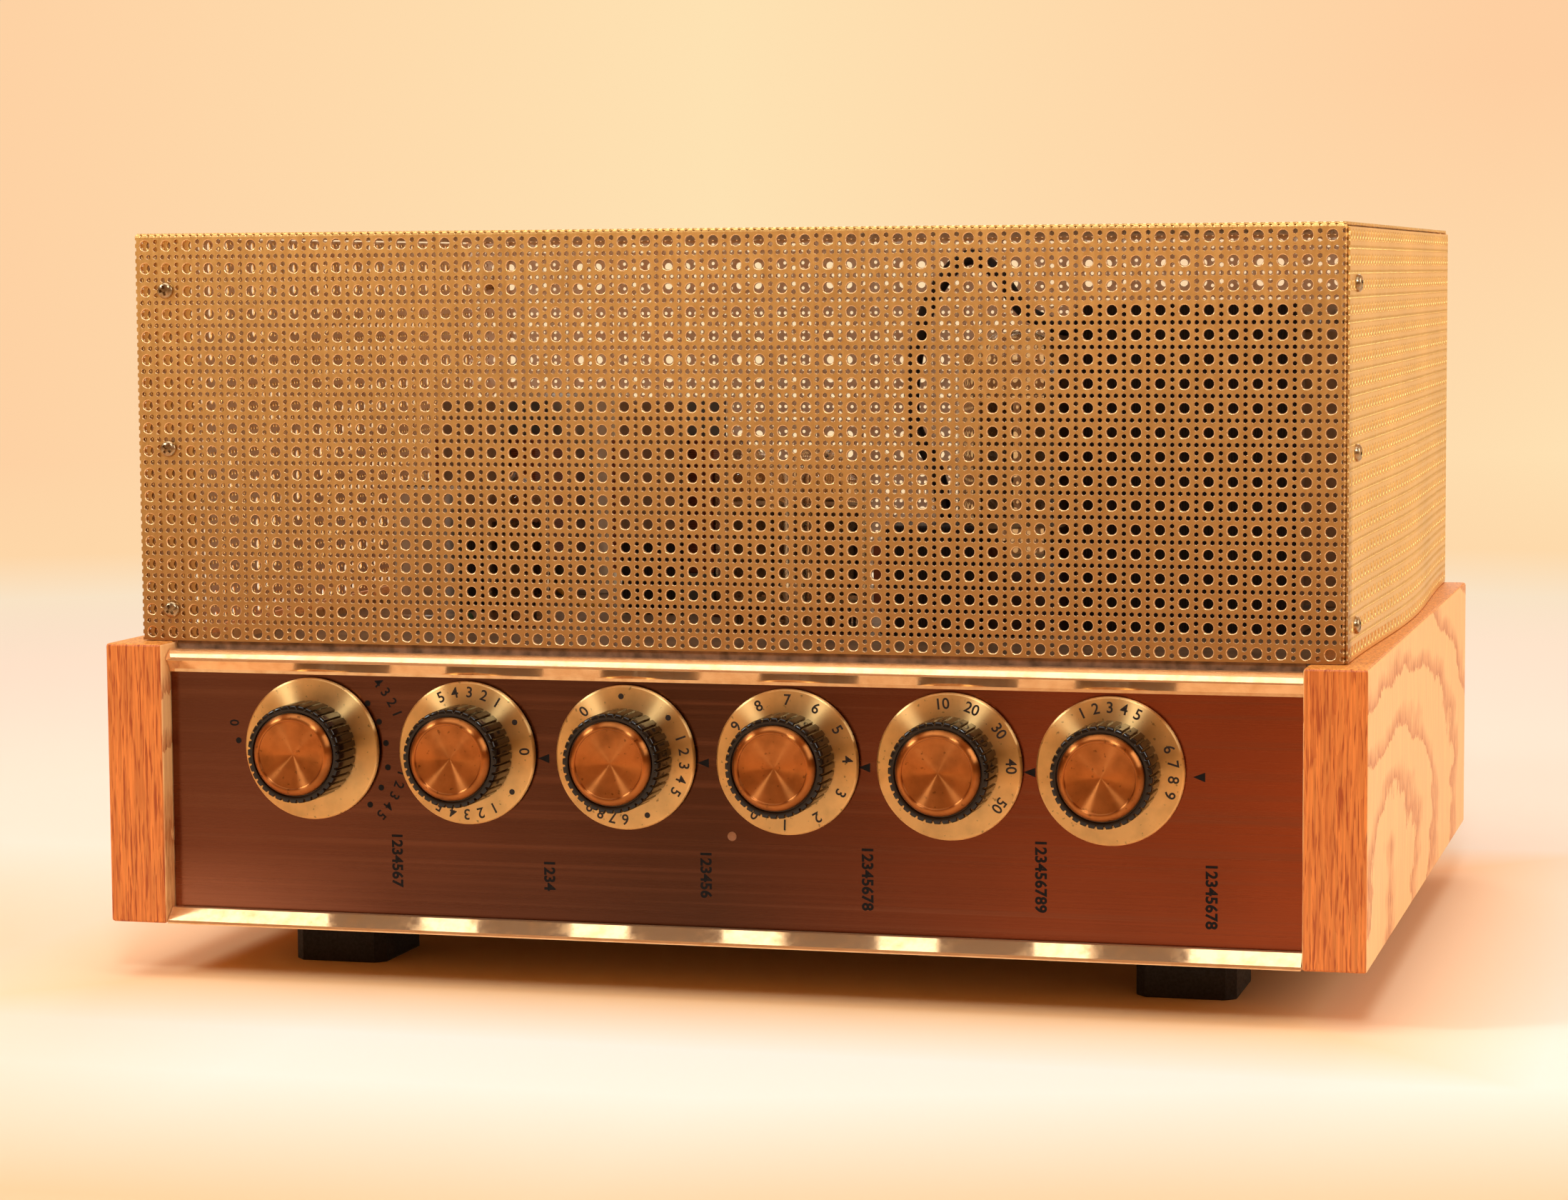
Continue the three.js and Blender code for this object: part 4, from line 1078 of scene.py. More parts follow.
class AMPLIFIER_OT_trims(bpy.types.Operator):
    """Make the polished strips above and below the panel from their sections"""

    bl_idname = "amplifier.trims"
    bl_label = "Polished trims"

    def execute(self, context):
        face, top = box_mm("front_panel")[0].y, box_mm("front_panel")[1].z
        low, high = box_mm("top_trim")
        # (y, z) round the section, anticlockwise from the hem: a rolled brow, a lip and a bevel under it
        brow = [
            (low.y + 2.6, low.z), (face - 0.3, low.z), (face - 0.3, top + 0.6),
            (face + 1.5, high.z - 1.5), (high.y, high.z - 1.5), (high.y, high.z),
            (low.y + 3.3, high.z), (low.y + 2.9, high.z - 0.12), (low.y + 2.25, high.z - 0.5),
            (low.y + 1.15, high.z - 1.45), (low.y + 0.1, high.z - 2.6), (low.y, high.z - 2.85),
            (low.y, high.z - 3.1), (low.y + 0.75, high.z - 3.1), (low.y + 2.6, low.z + 0.9)]
        self.strip("top_strip", "top_trim", brow)
        low, high = box_mm("bottom_trim")
        ledge = [
            (low.y, low.z), (high.y, low.z), (high.y, low.z + 0.8), (low.y + 1.2, low.z + 0.8),
            (low.y + 4.0, high.z - 0.85), (face - 0.3, high.z - 0.85), (face - 0.3, high.z),
            (low.y + 4.0, high.z), (low.y + 3.55, high.z - 0.12), (low.y + 0.12, low.z + 1.05),
            (low.y, low.z + 0.75)]
        self.strip("bottom_strip", "bottom_trim", ledge)
        return {"FINISHED"}

    def strip(self, name, node, section):
        """The section drawn out along X over the node's length."""
        low, high = box_mm(node)
        along_x = Matrix(((0, 0, 1, 0), (1, 0, 0, 0), (0, 1, 0, 0), (0, 0, 0, 1)))
        shape = Shape()
        shape.prism(section, low.x, high.x, along_x)
        dress(name, shape.mesh(name, 24), ["polished_gold_trim"], stands_for=[node])


class AMPLIFIER_OT_lip(bpy.types.Operator):
    """Make the deck's upturned lip, which shows under the cover's front edge"""

    bl_idname = "amplifier.lip"
    bl_label = "Deck lip"

    def execute(self, context):
        low, high = box_mm("chassis")
        cover = box_mm("cover_front")[0]
        face = cover.y + 1.2
        shape = Shape()
        shape.box((low.x + 0.2, face, high.z + 0.05), (high.x - 0.2, face + 1.2, cover.z - 0.05))
        dress("deck_lip", shape.mesh("deck_lip"), ["dusty_deck_steel"], bevel=0.2)
        return {"FINISHED"}


class AMPLIFIER_OT_dials(bpy.types.Operator):
    """Make the six dials: spun skirt, fluted grip and copper inlay, with their printed figures"""

    bl_idname = "amplifier.dials"
    bl_label = "Dials"

    # (angle in degrees from three o'clock, anticlockwise, figure); a dot where there is no figure
    FIGURES = {
        "balance": [],
        "bass": [(115 - 14.5 * n, str(5 - n)) for n in range(5)] + [(32, ""), (3, "0"), (-38, "")]
                + [(-62 - 14 * n, str(n + 1)) for n in range(5)],
        "treble": [(133, "0"), (93, ""), (42, ""), (-68, "")] + [(20 - 13 * n, str(n + 1)) for n in range(5)]
                  + [(-90 - 12 * n, str(n + 6)) for n in range(4)],
        "loudness": [(-122, "0"), (-92, "1"), (-60, "2"), (-28, "3"), (4, "4"), (33, "5"), (61, "6"),
                     (89, "7"), (117, "8"), (146, "9")],
        "equaliser": [(96, "10"), (68, "20"), (36, "30"), (2, "40"), (-36, "50")],
        "mode": [(116 - 13 * n, str(n + 1)) for n in range(5)]
                + [(22 - 14 * n, str(n + 6)) for n in range(4)],
    }

    # (radius, height) round the section of the skirt and of the inlay, in millimetres
    SKIRT = [(10.8, 0), (20.9, 0), (21.1, 0.2), (21.1, 1.0), (20.95, 1.35), (20.6, 1.6), (16.5, 1.62),
             (10.8, 1.62), (10.8, 0)]
    INLAY = [(0, 0), (12.3, 0), (12.25, 0.35), (11.9, 1.0), (11.45, 1.65), (11.0, 2.05), (10.6, 2.2),
             (10.3, 2.2), (10.12, 2.12), (10.05, 1.95), (10.0, 1.8), (9.85, 1.7), (6.6, 1.22), (3.3, 0.7),
             (0.8, 0.33), (0.2, 0.26), (0, 0.25)]
    # distance inwards from the flutes' tops, height, and how far the flutes are cut there
    GRIP = [(4.0, 1.9, 0), (1.6, 1.9, 0), (0.9, 2.1, 1), (0.0, 2.6, 1), (0.0, 14.7, 1), (0.14, 15.3, 1),
            (0.5, 15.62, 0.8), (0.95, 15.7, 0.25), (1.3, 15.7, 0), (1.75, 15.66, 0), (1.9, 15.5, 0),
            (1.92, 14.9, 0), (14.5, 14.9, 0)]
    # shares of a sector's angle, and of the groove's depth there
    FLUTE = [(-0.5, 0), (-0.19, 0), (-0.14, 0.3), (-0.09, 0.9), (0, 1), (0.09, 0.9), (0.14, 0.3),
             (0.19, 0), (0.5, 0)]
    GRIP_RADIUS, FIGURE_RADIUS = 14.5, 17.9

    def execute(self, context):
        sizes = context.scene.amplifier_dials
        grip_mesh = self.grip(sizes)
        for name in CONTROLS:
            body = name + "_knob"
            low, high = box_mm(name + "_skirt")
            centre = (low + high) / 2
            base = placed(centre.x, high.y, centre.z, TO_FRONT)
            skirt = Shape()
            skirt.turned(self.SKIRT, 96, base)
            self.spin(dress(name + "_gold_skirt", skirt.mesh(name), ["spun_gold_anodised_skirt"],
                            body, [name + "_skirt"]), base)
            mesh = grip_mesh.copy()
            mesh.transform(placed(centre.x, high.y, centre.z, TO_FRONT, 4))
            dress(name + "_fluted_grip", mesh, ["polished_black_phenolic"], body,
                  [name + "_grip"])
            seat = placed(centre.x, box_mm(name + "_inlay")[1].y, centre.z, TO_FRONT)
            inlay = Shape()
            inlay.turned(self.INLAY, 96, seat)
            self.spin(dress(name + "_copper_inlay", inlay.mesh(name, 25), ["spun_lacquered_copper"],
                            body, [name + "_inlay"]), seat)
            self.print_figures(name, body, centre, low.y, sizes)
        return {"FINISHED"}

    def spin(self, piece, place):
        """Stores for each point its way out from the axis and its distance from it, for the spun finish."""
        mesh = piece.data
        inverse = place.inverted()
        ways = mesh.attributes.new("spin", "FLOAT_VECTOR", "POINT")
        turned = mesh.attributes.new("turned", "FLOAT_VECTOR", "POINT")
        turn = place.to_3x3()
        for vertex in mesh.vertices:
            local = inverse @ vertex.co
            flat = Vector((local.x, local.y, 0))
            way = flat.normalized() if flat.length > 1e-6 else Vector((1, 0, 0))
            ways.data[vertex.index].vector = turn @ way
            turned.data[vertex.index].vector = (flat.length, math.atan2(local.y, local.x), local.z)

    def grip(self, sizes):
        """Fluted grip as one sector, repeated round the axis; heights run from the back of the skirt."""
        groove, wedge = sizes.groove / MM, 2 * math.pi / sizes.flutes
        points, faces = [], []
        for inwards, height, share in self.GRIP:
            for angle_share, depth in self.FLUTE:
                distance = (self.GRIP_RADIUS - inwards - groove * depth * share) * MM
                angle = angle_share * wedge
                points.append((distance * math.cos(angle), distance * math.sin(angle), height * MM))
        width = len(self.FLUTE)
        for row in range(len(self.GRIP) - 1):
            for k in range(width - 1):
                a = row * width + k
                faces.append((a, a + 1, a + width + 1, a + width))
        sector = bpy.data.meshes.new("grip sector")
        sector.from_pydata(points, [], faces)
        item = link("grip sector", sector)
        mesh = grown("ring", {
            "Item": item, "Count": sizes.flutes, "Material": MATERIALS["polished_black_phenolic"]})
        bpy.data.objects.remove(item)
        work = bmesh.new()
        work.from_mesh(mesh)
        bmesh.ops.remove_doubles(work, verts=work.verts, dist=2e-6)
        bmesh.ops.holes_fill(work, edges=[e for e in work.edges if e.is_boundary], sides=0)
        bmesh.ops.recalc_face_normals(work, faces=work.faces)
        work.to_mesh(mesh)
        work.free()
        return smoothed(mesh, 38)

    def print_figures(self, name, body, centre, face, sizes):
        """Figures and dots on the skirt, read from outside the dial."""
        shape = Shape()
        for angle, figure in self.FIGURES[name]:
            turn = math.radians(angle)
            # an angle seen from the front runs anticlockwise from +X towards +Z
            way = Vector((self.FIGURE_RADIUS * math.cos(turn), 0, self.FIGURE_RADIUS * math.sin(turn)))
            place = Matrix.Translation((centre + way) * MM)
            place.translation.y = face * MM
            spun = place @ TO_FRONT @ Matrix.Rotation(turn - math.pi / 2, 4, "Z")
            if figure:
                add_text(shape, figure, sizes.digit, spun)
            else:
                shape.disc(sizes.dot / MM / 2, -0.02, 0.04, 20, spun)
        if shape.points:
            dress(name + "_figures", shape.mesh(name), ["brown_printing_ink"], body)


def add_text(shape, text, height, place, weight=0.02):
    """Adds plain figures, centred, standing a little proud of their surface."""
    curve = bpy.data.curves.new("figure", "FONT")
    curve.body, curve.size, curve.extrude = text, height * 1.38, 0.03 * MM
    curve.align_x, curve.align_y, curve.offset, curve.resolution_u = "CENTER", "CENTER", weight * height, 4
    host = bpy.data.objects.new("figure", curve)
    bpy.context.scene.collection.objects.link(host)
    mesh = evaluated_mesh(host)
    shape.add([v.co.copy() for v in mesh.vertices], [list(p.vertices) for p in mesh.polygons], place)
    bpy.data.objects.remove(host)
    bpy.data.meshes.remove(mesh)


class AMPLIFIER_OT_marks(bpy.types.Operator):
    """Print the index marks, dots and scales on the panel"""

    bl_idname = "amplifier.marks"
    bl_label = "Panel marks"

    # X of the index mark, a triangle, to the right of each control but the first
    TRIANGLES = (-52.2, -3.6, 44.4, 92.4, 140.6)
    # (x, z) of the dots round the first control
    DOTS = ((-148.4, 72.2), (-107.0, 84.3), (-103.5, 78.9), (-101.4, 72.6), (-100.9, 65.4),
            (-103.1, 59.3), (-106.7, 54.1))
    # how many numbers stand in a column beside each control, and its middle (x, z)
    COLUMNS = ((7, -98.5, 38.0), (4, -51.0, 35.0), (6, -3.2, 37.0), (8, 45.0, 37.5), (9, 95.5, 40.0),
               (8, 144.0, 36.0))
    # figures that follow the first dial's edge, and the angle of the first of them
    ARCS = (("4321", 44), ("12345", -14))

    def execute(self, context):
        face = box_mm("front_panel")[0].y
        shape = Shape()
        for x in self.TRIANGLES:
            shape.prism([(-1.7, 0), (1.7, -1.35), (1.7, 1.35)], -0.02, 0.05,
                        placed(x, face, 69.4, TO_FRONT))
        for x, z in self.DOTS:
            shape.disc(0.9, -0.02, 0.05, 20, placed(x, face, z, TO_FRONT))
        # the numbers in a column are read from the right
        for count, x, z in self.COLUMNS:
            for k in range(count):
                spot = placed(x, face, z + 2.35 * ((count - 1) / 2 - k), TO_FRONT, -90)
                add_text(shape, str(k + 1), 3.3 * MM, spot, 0.045)
        centre = middle_mm("balance_skirt")
        for figures, first in self.ARCS:
            for k, figure in enumerate(figures):
                angle = math.radians(first - 7.2 * k)
                x, z = centre.x + 28.5 * math.cos(angle), centre.z + 28.5 * math.sin(angle)
                spot = placed(x, face, z, TO_FRONT, math.degrees(angle) - 90)
                add_text(shape, figure, 3.1 * MM, spot)
        # and one beside the first dial's stop
        add_text(shape, "0", 2.9 * MM, placed(-149.5, face, 77.5, TO_FRONT, 90))
        dress("panel_marks", shape.mesh("panel_marks"), ["black_printing_ink"])
        lens = Shape()
        lens.turned([(0, -0.3), (1.35, -0.3), (1.35, 0.05), (1.2, 0.14), (0.6, 0.22), (0, 0.25)], 32,
                    placed(4.9, face, 48.3, TO_FRONT))
        dress("pilot_lens", lens.mesh("pilot_lens"), ["frosted_lamp_lens"])
        return {"FINISHED"}


class AMPLIFIER_OT_screws(bpy.types.Operator):
    """Set the screws of the cover, the bottom plate and the feet"""

    bl_idname = "amplifier.screws"
    bl_label = "Screws"

    # heights of the cover's screws, and their distance from the middle
    HEIGHTS, ASIDE = (206.3, 159.1, 110.8), 170.6
    # each head is turned its own way, as screws stop
    SPINS = (12, 51, 33, 70, 5, 44, 81, 27, 60)

    def execute(self, context):
        front, back = box_mm("cover_front")[0].y, box_mm("cover_back")[1].y
        side = context.scene.amplifier_sheet.thickness / MM - box_mm("cover_front")[0].x
        places = [placed(-self.ASIDE, front, z, TO_FRONT, self.SPINS[i])
                  for i, z in enumerate(self.HEIGHTS)]
        places += [placed(side, front + 17.4, z, TO_RIGHT, self.SPINS[i + 3])
                   for i, z in enumerate(self.HEIGHTS)]
        dress_many("cover_screws", self.pan_head(2.5, 1.7), places, "nickel_plated_steel")
        places = [placed(x, back, z, TO_BACK, self.SPINS[i + 6])
                  for i, z in enumerate(self.HEIGHTS) for x in (-self.ASIDE, self.ASIDE)]
        dress_many("rear_screws", self.flush_head(), places, "nickel_plated_steel")
        low, high = box_mm("bottom_plate")
        places = [placed(x, y, low.z, DOWN, 30 + x) for x in (low.x + 12, high.x - 12)
                  for y in (low.y + 12, (low.y + high.y) / 2, high.y - 12)]
        dress_many("plate_screws", self.pan_head(2.8, 1.6), places, "turned_bright_steel")
        feet = [middle_mm("foot_" + corner) for corner in CORNERS]
        places = [placed(centre.x, centre.y, 7, DOWN, centre.x) for centre in feet]
        dress_many("foot_screws", self.pan_head(3.6, 2.2), places, "nickel_plated_steel")
        return {"FINISHED"}

    def flush_head(self):
        """A countersunk head that lies flush with the sheet, with its cross recess."""
        head = Shape()
        head.turned([(0, -3.0), (1.4, -3.0), (1.4, -1.3), (2.9, -0.1), (2.9, 0), (0, 0.05)], 32)
        return self.crossed(head, 2.9, 0.9, -0.9)

    def pan_head(self, radius, height):
        """A rounded head on a short shank, with its cross recess."""
        # shares of the head's radius and of its height, over the dome
        dome = ((1, 0.35), (0.93, 0.62), (0.72, 0.86), (0.4, 0.97), (0, 1))
        head = Shape()
        head.turned([(0, -2.2), (1.4, -2.2), (1.4, 0), (radius, 0)]
                    + [(share * radius, up * height) for share, up in dome], 32)
        return self.crossed(head, radius, height, 0.35 * height)

    def crossed(self, head, radius, height, deep):
        """The head with a cross recess cut down to a depth by a boolean."""
        blank = link("screw blank", head.mesh("screw"))
        cross = Shape()
        arm, slot = 0.62 * radius, 0.17 * radius
        outline = [
            (arm, -slot), (arm, slot), (slot, slot), (slot, arm), (-slot, arm), (-slot, slot),
            (-arm, slot), (-arm, -slot), (-slot, -slot), (-slot, -arm), (slot, -arm), (slot, -slot)]
        cross.prism(outline, deep, 2 * height)
        cutter = link("cross", cross.mesh("cross"))
        recess = blank.modifiers.new("recess", "BOOLEAN")
        recess.object, recess.operation, recess.solver = cutter, "DIFFERENCE", "EXACT"
        made = evaluated_mesh(blank)
        bpy.data.objects.remove(blank)
        bpy.data.objects.remove(cutter)
        return smoothed(made, 35)


class AMPLIFIER_OT_feet(bpy.types.Operator):
    """Make the four rubber feet with eased edges and a counterbore"""

    bl_idname = "amplifier.feet"
    bl_label = "Feet"

    def execute(self, context):
        for corner in CORNERS:
            node = "foot_" + corner
            mesh = bpy.data.meshes.new(node)
            work = bmesh.new()
            work.from_mesh(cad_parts[node].data)
            bmesh.ops.remove_doubles(work, verts=work.verts, dist=1e-6)
            bmesh.ops.dissolve_limit(
                work, angle_limit=math.radians(1), verts=work.verts, edges=work.edges)
            work.to_mesh(mesh)
            work.free()
            smoothed(mesh, 30)
            dress(node + "_rubber", mesh, ["black_moulded_rubber"],
                  stands_for=[node], bevel=0.5)
        return {"FINISHED"}


class AMPLIFIER_OT_transformers(bpy.types.Operator):
    """Make the mains and output transformers and the choke"""

    bl_idname = "amplifier.transformers"
    bl_label = "Transformers"

    def execute(self, context):
        low, high = box_mm("mains_transformer_core")
        shape = Shape()
        # bell covers over the winding on both faces, held by four long bolts
        coil_low, coil_high = box_mm("mains_transformer_winding")
        for inner, outer in ((low.x, coil_low.x - 1.5), (high.x, coil_high.x + 1.5)):
            a, b = sorted((inner, outer))
            shape.box((a, low.y + 5, low.z + 8), (b, high.y - 5, high.z - 8))
            edge = (inner - 1.6, inner) if outer < inner else (inner, inner + 1.6)
            shape.box((edge[0], low.y, low.z), (edge[1], high.y, high.z))
        dress("mains_bell_covers", shape.mesh("mains_bell_covers"), ["olive_grey_enamel"],
              bevel=2.2, stands_for=["mains_transformer_winding"])
        nuts = [placed(x, y, z, turn) for x, turn in ((low.x - 1.6, TO_LEFT), (high.x + 1.6, TO_RIGHT))
                for y in (low.y + 6, high.y - 6) for z in (low.z + 6, high.z - 6)]
        dress_many("mains_bolts", self.nut(), nuts, "turned_bright_steel")
        for side in ("left", "right"):
            self.output("output_transformer_" + side)
        base = box_mm("mains_transformer_core")[0].z
        choke = Shape()
        choke.box((26, -36, base), (56, -6, base + 34), 0)
        choke.box((21, -31, base + 6), (61, -11, base + 28), 1)
        choke.box((24.5, -37.5, base), (57.5, -4.5, base + 2), 2)
        finishes = ["stacked_laminations", "kraft_paper_wrap", "black_enamelled_steel"]
        dress("filter_choke", choke.mesh("filter_choke"), finishes, bevel=0.8)
        return {"FINISHED"}

    def output(self, node):
        """An output transformer: its stack, the winding round it, and a strap over both."""
        low, high = box_mm(node)
        third = (high.z - low.z) / 3
        inset = third / 2 + 1
        half, mid = 10, (low.x + high.x) / 2
        core = Shape()
        core.box((mid - half, low.y, low.z), (mid + half, high.y, high.z), 0)
        core.box((low.x, low.y + inset, low.z + inset), (high.x, high.y - inset, high.z - inset), 1)
        core.box((mid - half - 1.2, low.y - 0.6, low.z + third),
                 (mid + half + 1.2, low.y + 8, high.z + 0.6), 2)
        finishes = ["stacked_laminations", "layered_winding", "olive_grey_enamel"]
        dress(node + "_stack", core.mesh(node), finishes, stands_for=[node], bevel=0.8)

    def nut(self):
        """A hexagon nut with the end of its bolt."""
        shape = Shape()
        hexagon = [(3.4 * math.cos(k * math.pi / 3), 3.4 * math.sin(k * math.pi / 3)) for k in range(6)]
        shape.prism(hexagon, 0, 2.6)
        shape.turned([(0, 2.6), (1.9, 2.6), (1.9, 4.4), (1.5, 4.8), (0, 4.8)], 16)
        return shape.mesh("nut")


class AMPLIFIER_OT_valves(bpy.types.Operator):
    """Make the valves with their bulbs and electrodes, their sockets, the can and the leads"""

    bl_idname = "amplifier.valves"
    bl_label = "Valves and wiring"

    # finishes of what stands in a bulb: plates and pins, mica discs, getter
    ELECTRODES = ["grey_nickel_electrode", "white_mica", "barium_getter_mirror"]

    def execute(self, context):
        deck = box_mm("chassis")[1].z
        for node in ("power_valve_1", "power_valve_2", "power_valve_3", "power_valve_4", "signal_valve"):
            self.miniature(node, deck)
        self.rectifier(deck)
        self.screened(deck)
        self.capacitor()
        self.leads(deck)
        return {"FINISHED"}

    def stand(self, node, deck):
        """A valve's middle, its radius, its height over the deck, and its place on the deck."""
        low, high = box_mm(node)
        centre = (low + high) / 2
        return centre, (high.x - low.x) / 2, high.z - deck, placed(centre.x, centre.y, deck)

    def bulb(self, name, profile, place, stands_for):
        """A glass bulb with a wall: the profile outside, then back inside it."""
        wall = 0.9
        foot, top = profile[0][1], profile[-1][1]
        shape, hollow = Shape(), Shape()
        shape.turned([(0, foot)] + profile, 40, place)
        inside = [(r - wall if r > wall else 0, h) for r, h in profile[:-1]]
        hollow.turned([(0, foot + wall)] + inside + [(0, top - wall)], 40, place)
        shape.add(hollow.points, [face[::-1] for face in hollow.faces])
        dress(name, shape.mesh(name), ["clear_bulb_glass"], stands_for=stands_for)

    def miniature(self, node, deck):
        """A valve with its pins through a glass foot: bulb, plate, micas, getter and socket."""
        centre, radius, top, here = self.stand(node, deck)
        # the dome: shares of the radius outwards, and down from the top
        dome = ((1, 0.95), (0.93, 0.7), (0.72, 0.48), (0.4, 0.34), (0.2, 0.22))
        glass = [(radius - 1.2, 0.6), (radius, 2.2)]
        glass += [(radius * share, top - radius * down) for share, down in dome]
        glass += [(radius * 0.12, top - 0.6), (0, top)]
        self.bulb(node + "_bulb", glass, here, [node])
        inner = Shape()
        plate_low, plate_high = 0.2 * top, 0.66 * top
        oval = [(6.4 * math.cos(k * math.pi / 8), 4.1 * math.sin(k * math.pi / 8)) for k in range(16)]
        inner.prism(oval, plate_low, plate_high, here, 0)
        for k in (-1, 1):
            inner.box((k * 7.1 - 0.5, -1.6, plate_low), (k * 7.1 + 0.5, 1.6, plate_high), 0, here)
        for level in (plate_low - 2.2, plate_high + 1.6):
            inner.disc(9.0, level, level + 0.4, 28, here, 1)
        level = plate_high + 4.0
        getter = [(4.2, level), (5.0, level), (5.0, level + 0.8), (4.2, level + 0.8), (4.2, level)]
        inner.turned(getter, 24, here, 2)
        # nine pins at ten places, which leaves the key's gap
        for k in range(9):
            angle = 2 * math.pi * (k + 0.5) / 10
            x, y = centre.x + 5.9 * math.cos(angle), centre.y + 5.9 * math.sin(angle)
            inner.disc(0.5, 1.2, plate_low - 1.9, 8, placed(x, y, deck))
        dress(node + "_electrodes", inner.mesh(node), self.ELECTRODES)
        socket = Shape()
        socket.turned([(0, -3), (8.6, -3), (8.6, -0.2), (11.6, -0.2), (11.6, 0.35), (0, 0.35)], 32, here)
        dress(node + "_socket", socket.mesh(node), ["paper_phenolic_board"])

    def rectifier(self, deck):
        """The rectifier: a large bulb in a resin base, with two plates side by side."""
        centre, radius, top, here = self.stand("rectifier_valve", deck)
        dome = ((1, 0.75), (0.93, 0.42), (0.74, 0.18), (0.45, 0.05))
        glass = [(radius * 0.84, 22.8), (radius * 0.9, 27), (radius, 34)]
        glass += [(radius * share, top - radius * down) for share, down in dome] + [(0, top)]
        self.bulb("rectifier_bulb", glass, here, ["rectifier_valve"])
        base = Shape()
        base.turned([(0, 0.3), (16.4, 0.3), (17.2, 1.1), (17.2, 22.0), (16.6, 23.4), (0, 23.6)], 48, here)
        dress("rectifier_base", base.mesh("rectifier_base"), ["brown_valve_base_resin"])
        inner = Shape()
        for k in (-1, 1):
            inner.box((k * 6.4 - 4.2, -5.2, 36), (k * 6.4 + 4.2, 5.2, 72), 0, here)
            inner.disc(0.8, 24.2, 82, 10, placed(centre.x + 13.2 * k, centre.y, deck))
        for level in (33.4, 74.5):
            inner.disc(15.2, level, level + 0.5, 36, here, 1)
        inner.disc(6.5, 84.6, 85.0, 28, here, 2)
        dress("rectifier_electrodes", inner.mesh("rectifier_electrodes"), self.ELECTRODES)

    def screened(self, deck):
        """The screened valve: a bulb in an open-topped can."""
        node = "shielded_valve"
        centre, radius, top, here = self.stand(node, deck)
        can = Shape()
        can.turned([
            (radius - 0.7, 0.4), (radius + 0.4, 0.4), (radius + 0.4, 5), (radius, 5.4),
            (radius, top - 3.4), (radius - 0.2, top - 1.2), (radius - 1.6, top), (radius - 3.6, top),
            (radius - 3.6, top - 0.7), (radius - 1.8, top - 0.7), (radius - 0.8, top - 2),
            (radius - 0.7, 0.4)], 48, here)
        dress("screening_can", can.mesh("screening_can"), ["drawn_satin_aluminium"],
              stands_for=[node])
        glass = [(radius - 3, 0.8), (radius - 2, 2.2), (radius - 2, top - 9), (radius * 0.6, top - 6),
                 (1.6, top - 4), (0, top - 2)]
        self.bulb("screened_bulb", glass, here, [])

    def capacitor(self):
        """The can capacitor, with a rolled rim round its sunk top."""
        node = "can_capacitor"
        low, high = box_mm(node)
        centre, radius, height = (low + high) / 2, 17.5, high.z - low.z
        # inwards from the can's radius, and down from its top
        rim = ((0, 2.4), (0.5, 0.6), (1.2, 0), (1.9, 0.5), (2.1, 2.2), (3, 2.9), (radius, 3.1))
        can = Shape()
        can.turned([(0, 0), (19, 0), (19, 1.6), (18.2, 2.2), (radius, 2.4)]
                   + [(radius - inwards, height - down) for inwards, down in rim], 64,
                   placed(centre.x, centre.y, low.z))
        dress("smoothing_can", can.mesh("smoothing_can"), ["drawn_satin_aluminium"],
              stands_for=[node])

    def leads(self, deck):
        """The arched lead, and cloth-covered wires from the transformers to the deck."""
        low, high = box_mm("mains_lead")
        reach, rise, middle = 41, 116.6, (low.y + high.y) / 2
        # shares of the reach and of the rise, between the two straight ends
        arch = ((-0.06, 0.39), (-0.27, 0.56), (-0.25, 0.74), (-0.11, 0.9), (0.14, 1), (0.36, 0.97),
                (0.6, 0.86))
        route = [(0, 0), (0, 5)] + [(along * reach, up * rise) for along, up in arch]
        route += [(reach - 5, 95.2), (reach, 95.2)]
        start = high.x - reach
        lead = Shape()
        lead.tube(spline([(start + x, middle, low.z + z) for x, z in route], 6), 2.5, 16)
        dress("arched_lead", lead.mesh("arched_lead"), ["black_cable_rubber"],
              stands_for=["mains_lead"])
        # each wire: where it starts, its height there over the deck, and where it goes down
        wires = {
            "red_cloth_wire": ((-118, 40, 9, -92, 44), (-66, 62, 12, -40, 40), (100, 14, 8, 76, 6)),
            "yellow_cloth_wire": ((-118, 34, 12, -90, 36), (-50, 62, 10, -30, 46)),
            "green_cloth_wire": ((-142, 10, 10, -122, -6), (104, 10, 6, 84, -8)),
        }
        for look, runs in wires.items():
            shape = Shape()
            for x, y, lift, to_x, to_y in runs:
                path = [(x, y, deck + lift),
                        (x + 0.3 * (to_x - x), y + 0.1 * (to_y - y), deck + lift * 0.8),
                        (x + 0.7 * (to_x - x), y + 0.7 * (to_y - y), deck + 2.0),
                        (to_x, to_y, deck + 0.9), (to_x, to_y, deck - 3)]
                shape.tube(spline(path, 6), 0.8, 10)
            dress(look + "s", shape.mesh(look), [look])


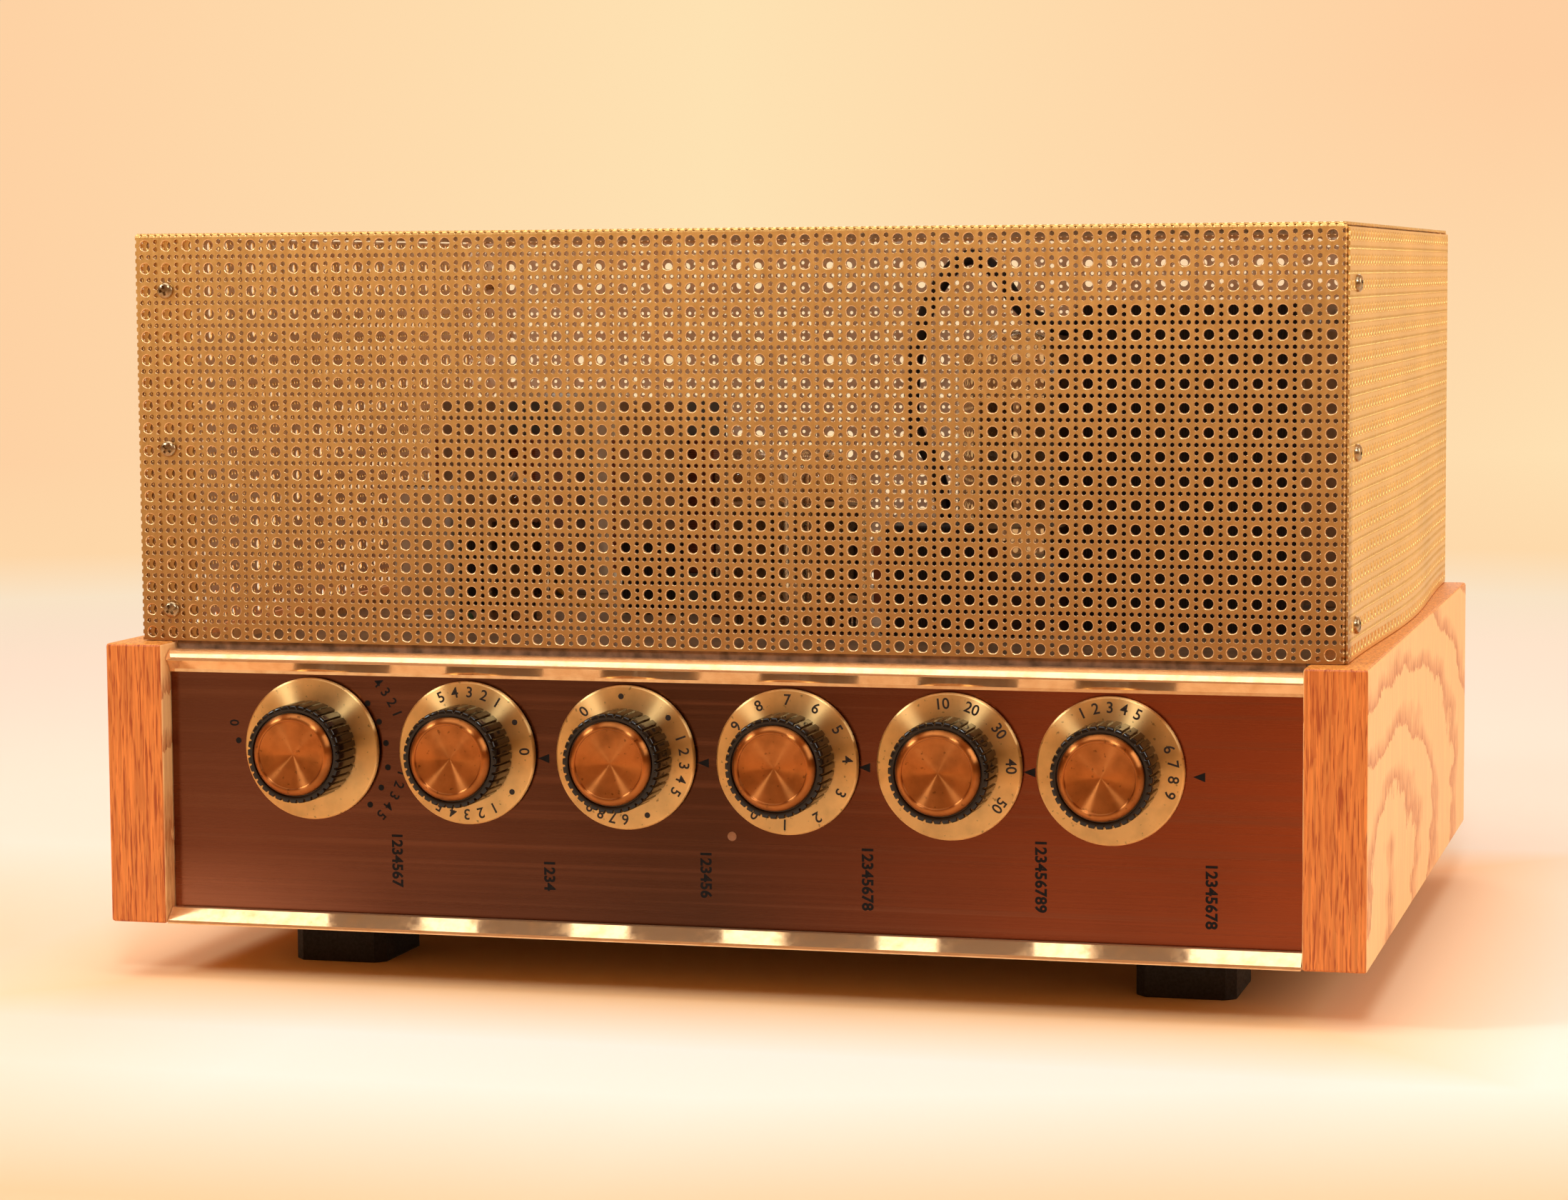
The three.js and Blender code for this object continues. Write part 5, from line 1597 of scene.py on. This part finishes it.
class AMPLIFIER_OT_back(bpy.types.Operator):
    """Make the connector board with its jacks and its strip of screw terminals"""

    bl_idname = "amplifier.back"
    bl_label = "Back"

    def execute(self, context):
        low, high = box_mm("connector_board")
        face = box_mm("chassis")[1].y + 0.3
        outside, centre = face + 1.6, (low.z + high.z) / 2
        plate = Shape()
        plate.box((low.x, face, low.z), (high.x, outside, high.z))
        dress("resin_board", plate.mesh("resin_board"), ["paper_phenolic_board"],
              stands_for=["connector_board"], bevel=0.3)
        jack = Shape()
        jack.turned([(0, 0), (4.9, 0), (4.9, 0.5), (4.15, 0.6), (4.15, 3.3), (3.9, 3.6), (3.45, 3.6),
                     (3.45, 0.9), (1.7, 0.9), (1.7, 3.1), (1.4, 3.4), (0.95, 3.4), (0.95, 1.6),
                     (0, 1.6)], 28)
        places = [placed(high.x - 8.5 - 17 * k, outside, centre + z, TO_BACK)
                  for k in range(4) for z in (-8.5, 8.5)]
        dress_many("input_jacks", jack.mesh("jack"), places, "tinned_terminal")
        # the terminal strip: five screws between six walls
        bar = Shape()
        start, length = low.x + 5, 62
        end = start + length
        bar.box((start, outside - 0.2, centre - 7.5), (end, outside + 1.7, centre + 7.5))
        for k in range(6):
            x = start + length * k / 5
            bar.box((max(x - 0.6, start), outside, centre - 6.5),
                    (min(x + 0.6, end), outside + 3.4, centre + 6.5))
        dress("terminal_strip", bar.mesh("terminal_strip"), ["brown_valve_base_resin"],
              bevel=0.3)
        screw = Shape()
        screw.turned([(0, -1), (2.6, -1), (2.6, 0.9), (2.2, 1.4), (0, 1.6)], 20)
        places = [placed(start + length * (k + 0.5) / 5, outside + 1.7, centre, TO_BACK, 20 * k)
                  for k in range(5)]
        dress_many("terminal_screws", screw.mesh("terminal screw"), places, "tinned_terminal")
        return {"FINISHED"}


PIECES = (
    AMPLIFIER_OT_finishes, AMPLIFIER_OT_stage, AMPLIFIER_OT_cover, AMPLIFIER_OT_cheeks,
    AMPLIFIER_OT_trims, AMPLIFIER_OT_lip, AMPLIFIER_OT_dials, AMPLIFIER_OT_marks,
    AMPLIFIER_OT_screws, AMPLIFIER_OT_feet, AMPLIFIER_OT_transformers, AMPLIFIER_OT_valves,
    AMPLIFIER_OT_back)


class AMPLIFIER_PT_pieces(bpy.types.Panel):
    """Lists the pieces and their sizes"""

    bl_idname = "AMPLIFIER_PT_pieces"
    bl_label = "Valve Amplifier"
    bl_space_type = "VIEW_3D"
    bl_region_type = "UI"
    bl_category = "Amplifier"

    def draw(self, context):
        for group in SIZES:
            sizes = getattr(context.scene, group)
            for label in sizes.__annotations__:
                self.layout.prop(sizes, label)
        for piece in PIECES:
            self.layout.operator(piece.bl_idname)


SIZES = {
    "amplifier_sheet": AmplifierSheetSizes,
    "amplifier_dials": AmplifierDialSizes,
    "amplifier_case": AmplifierCaseSizes,
    "amplifier_stage": AmplifierStageSizes,
}


def register():
    """Registers the classes and hangs the sizes on the scene."""
    for group, kind in SIZES.items():
        bpy.utils.register_class(kind)
        setattr(bpy.types.Scene, group, PointerProperty(type=kind))
    for kind in PIECES + (AMPLIFIER_PT_pieces,):
        bpy.utils.register_class(kind)


def unregister():
    """Takes the classes and sizes away again."""
    for kind in reversed(PIECES + (AMPLIFIER_PT_pieces,)):
        bpy.utils.unregister_class(kind)
    for group, kind in SIZES.items():
        delattr(bpy.types.Scene, group)
        bpy.utils.unregister_class(kind)


def main():
    """Registers the classes and builds every piece in order."""
    register()
    for piece in PIECES:
        group, name = piece.bl_idname.split(".")
        getattr(getattr(bpy.ops, group), name)()


if __name__ == "__main__":
    main()
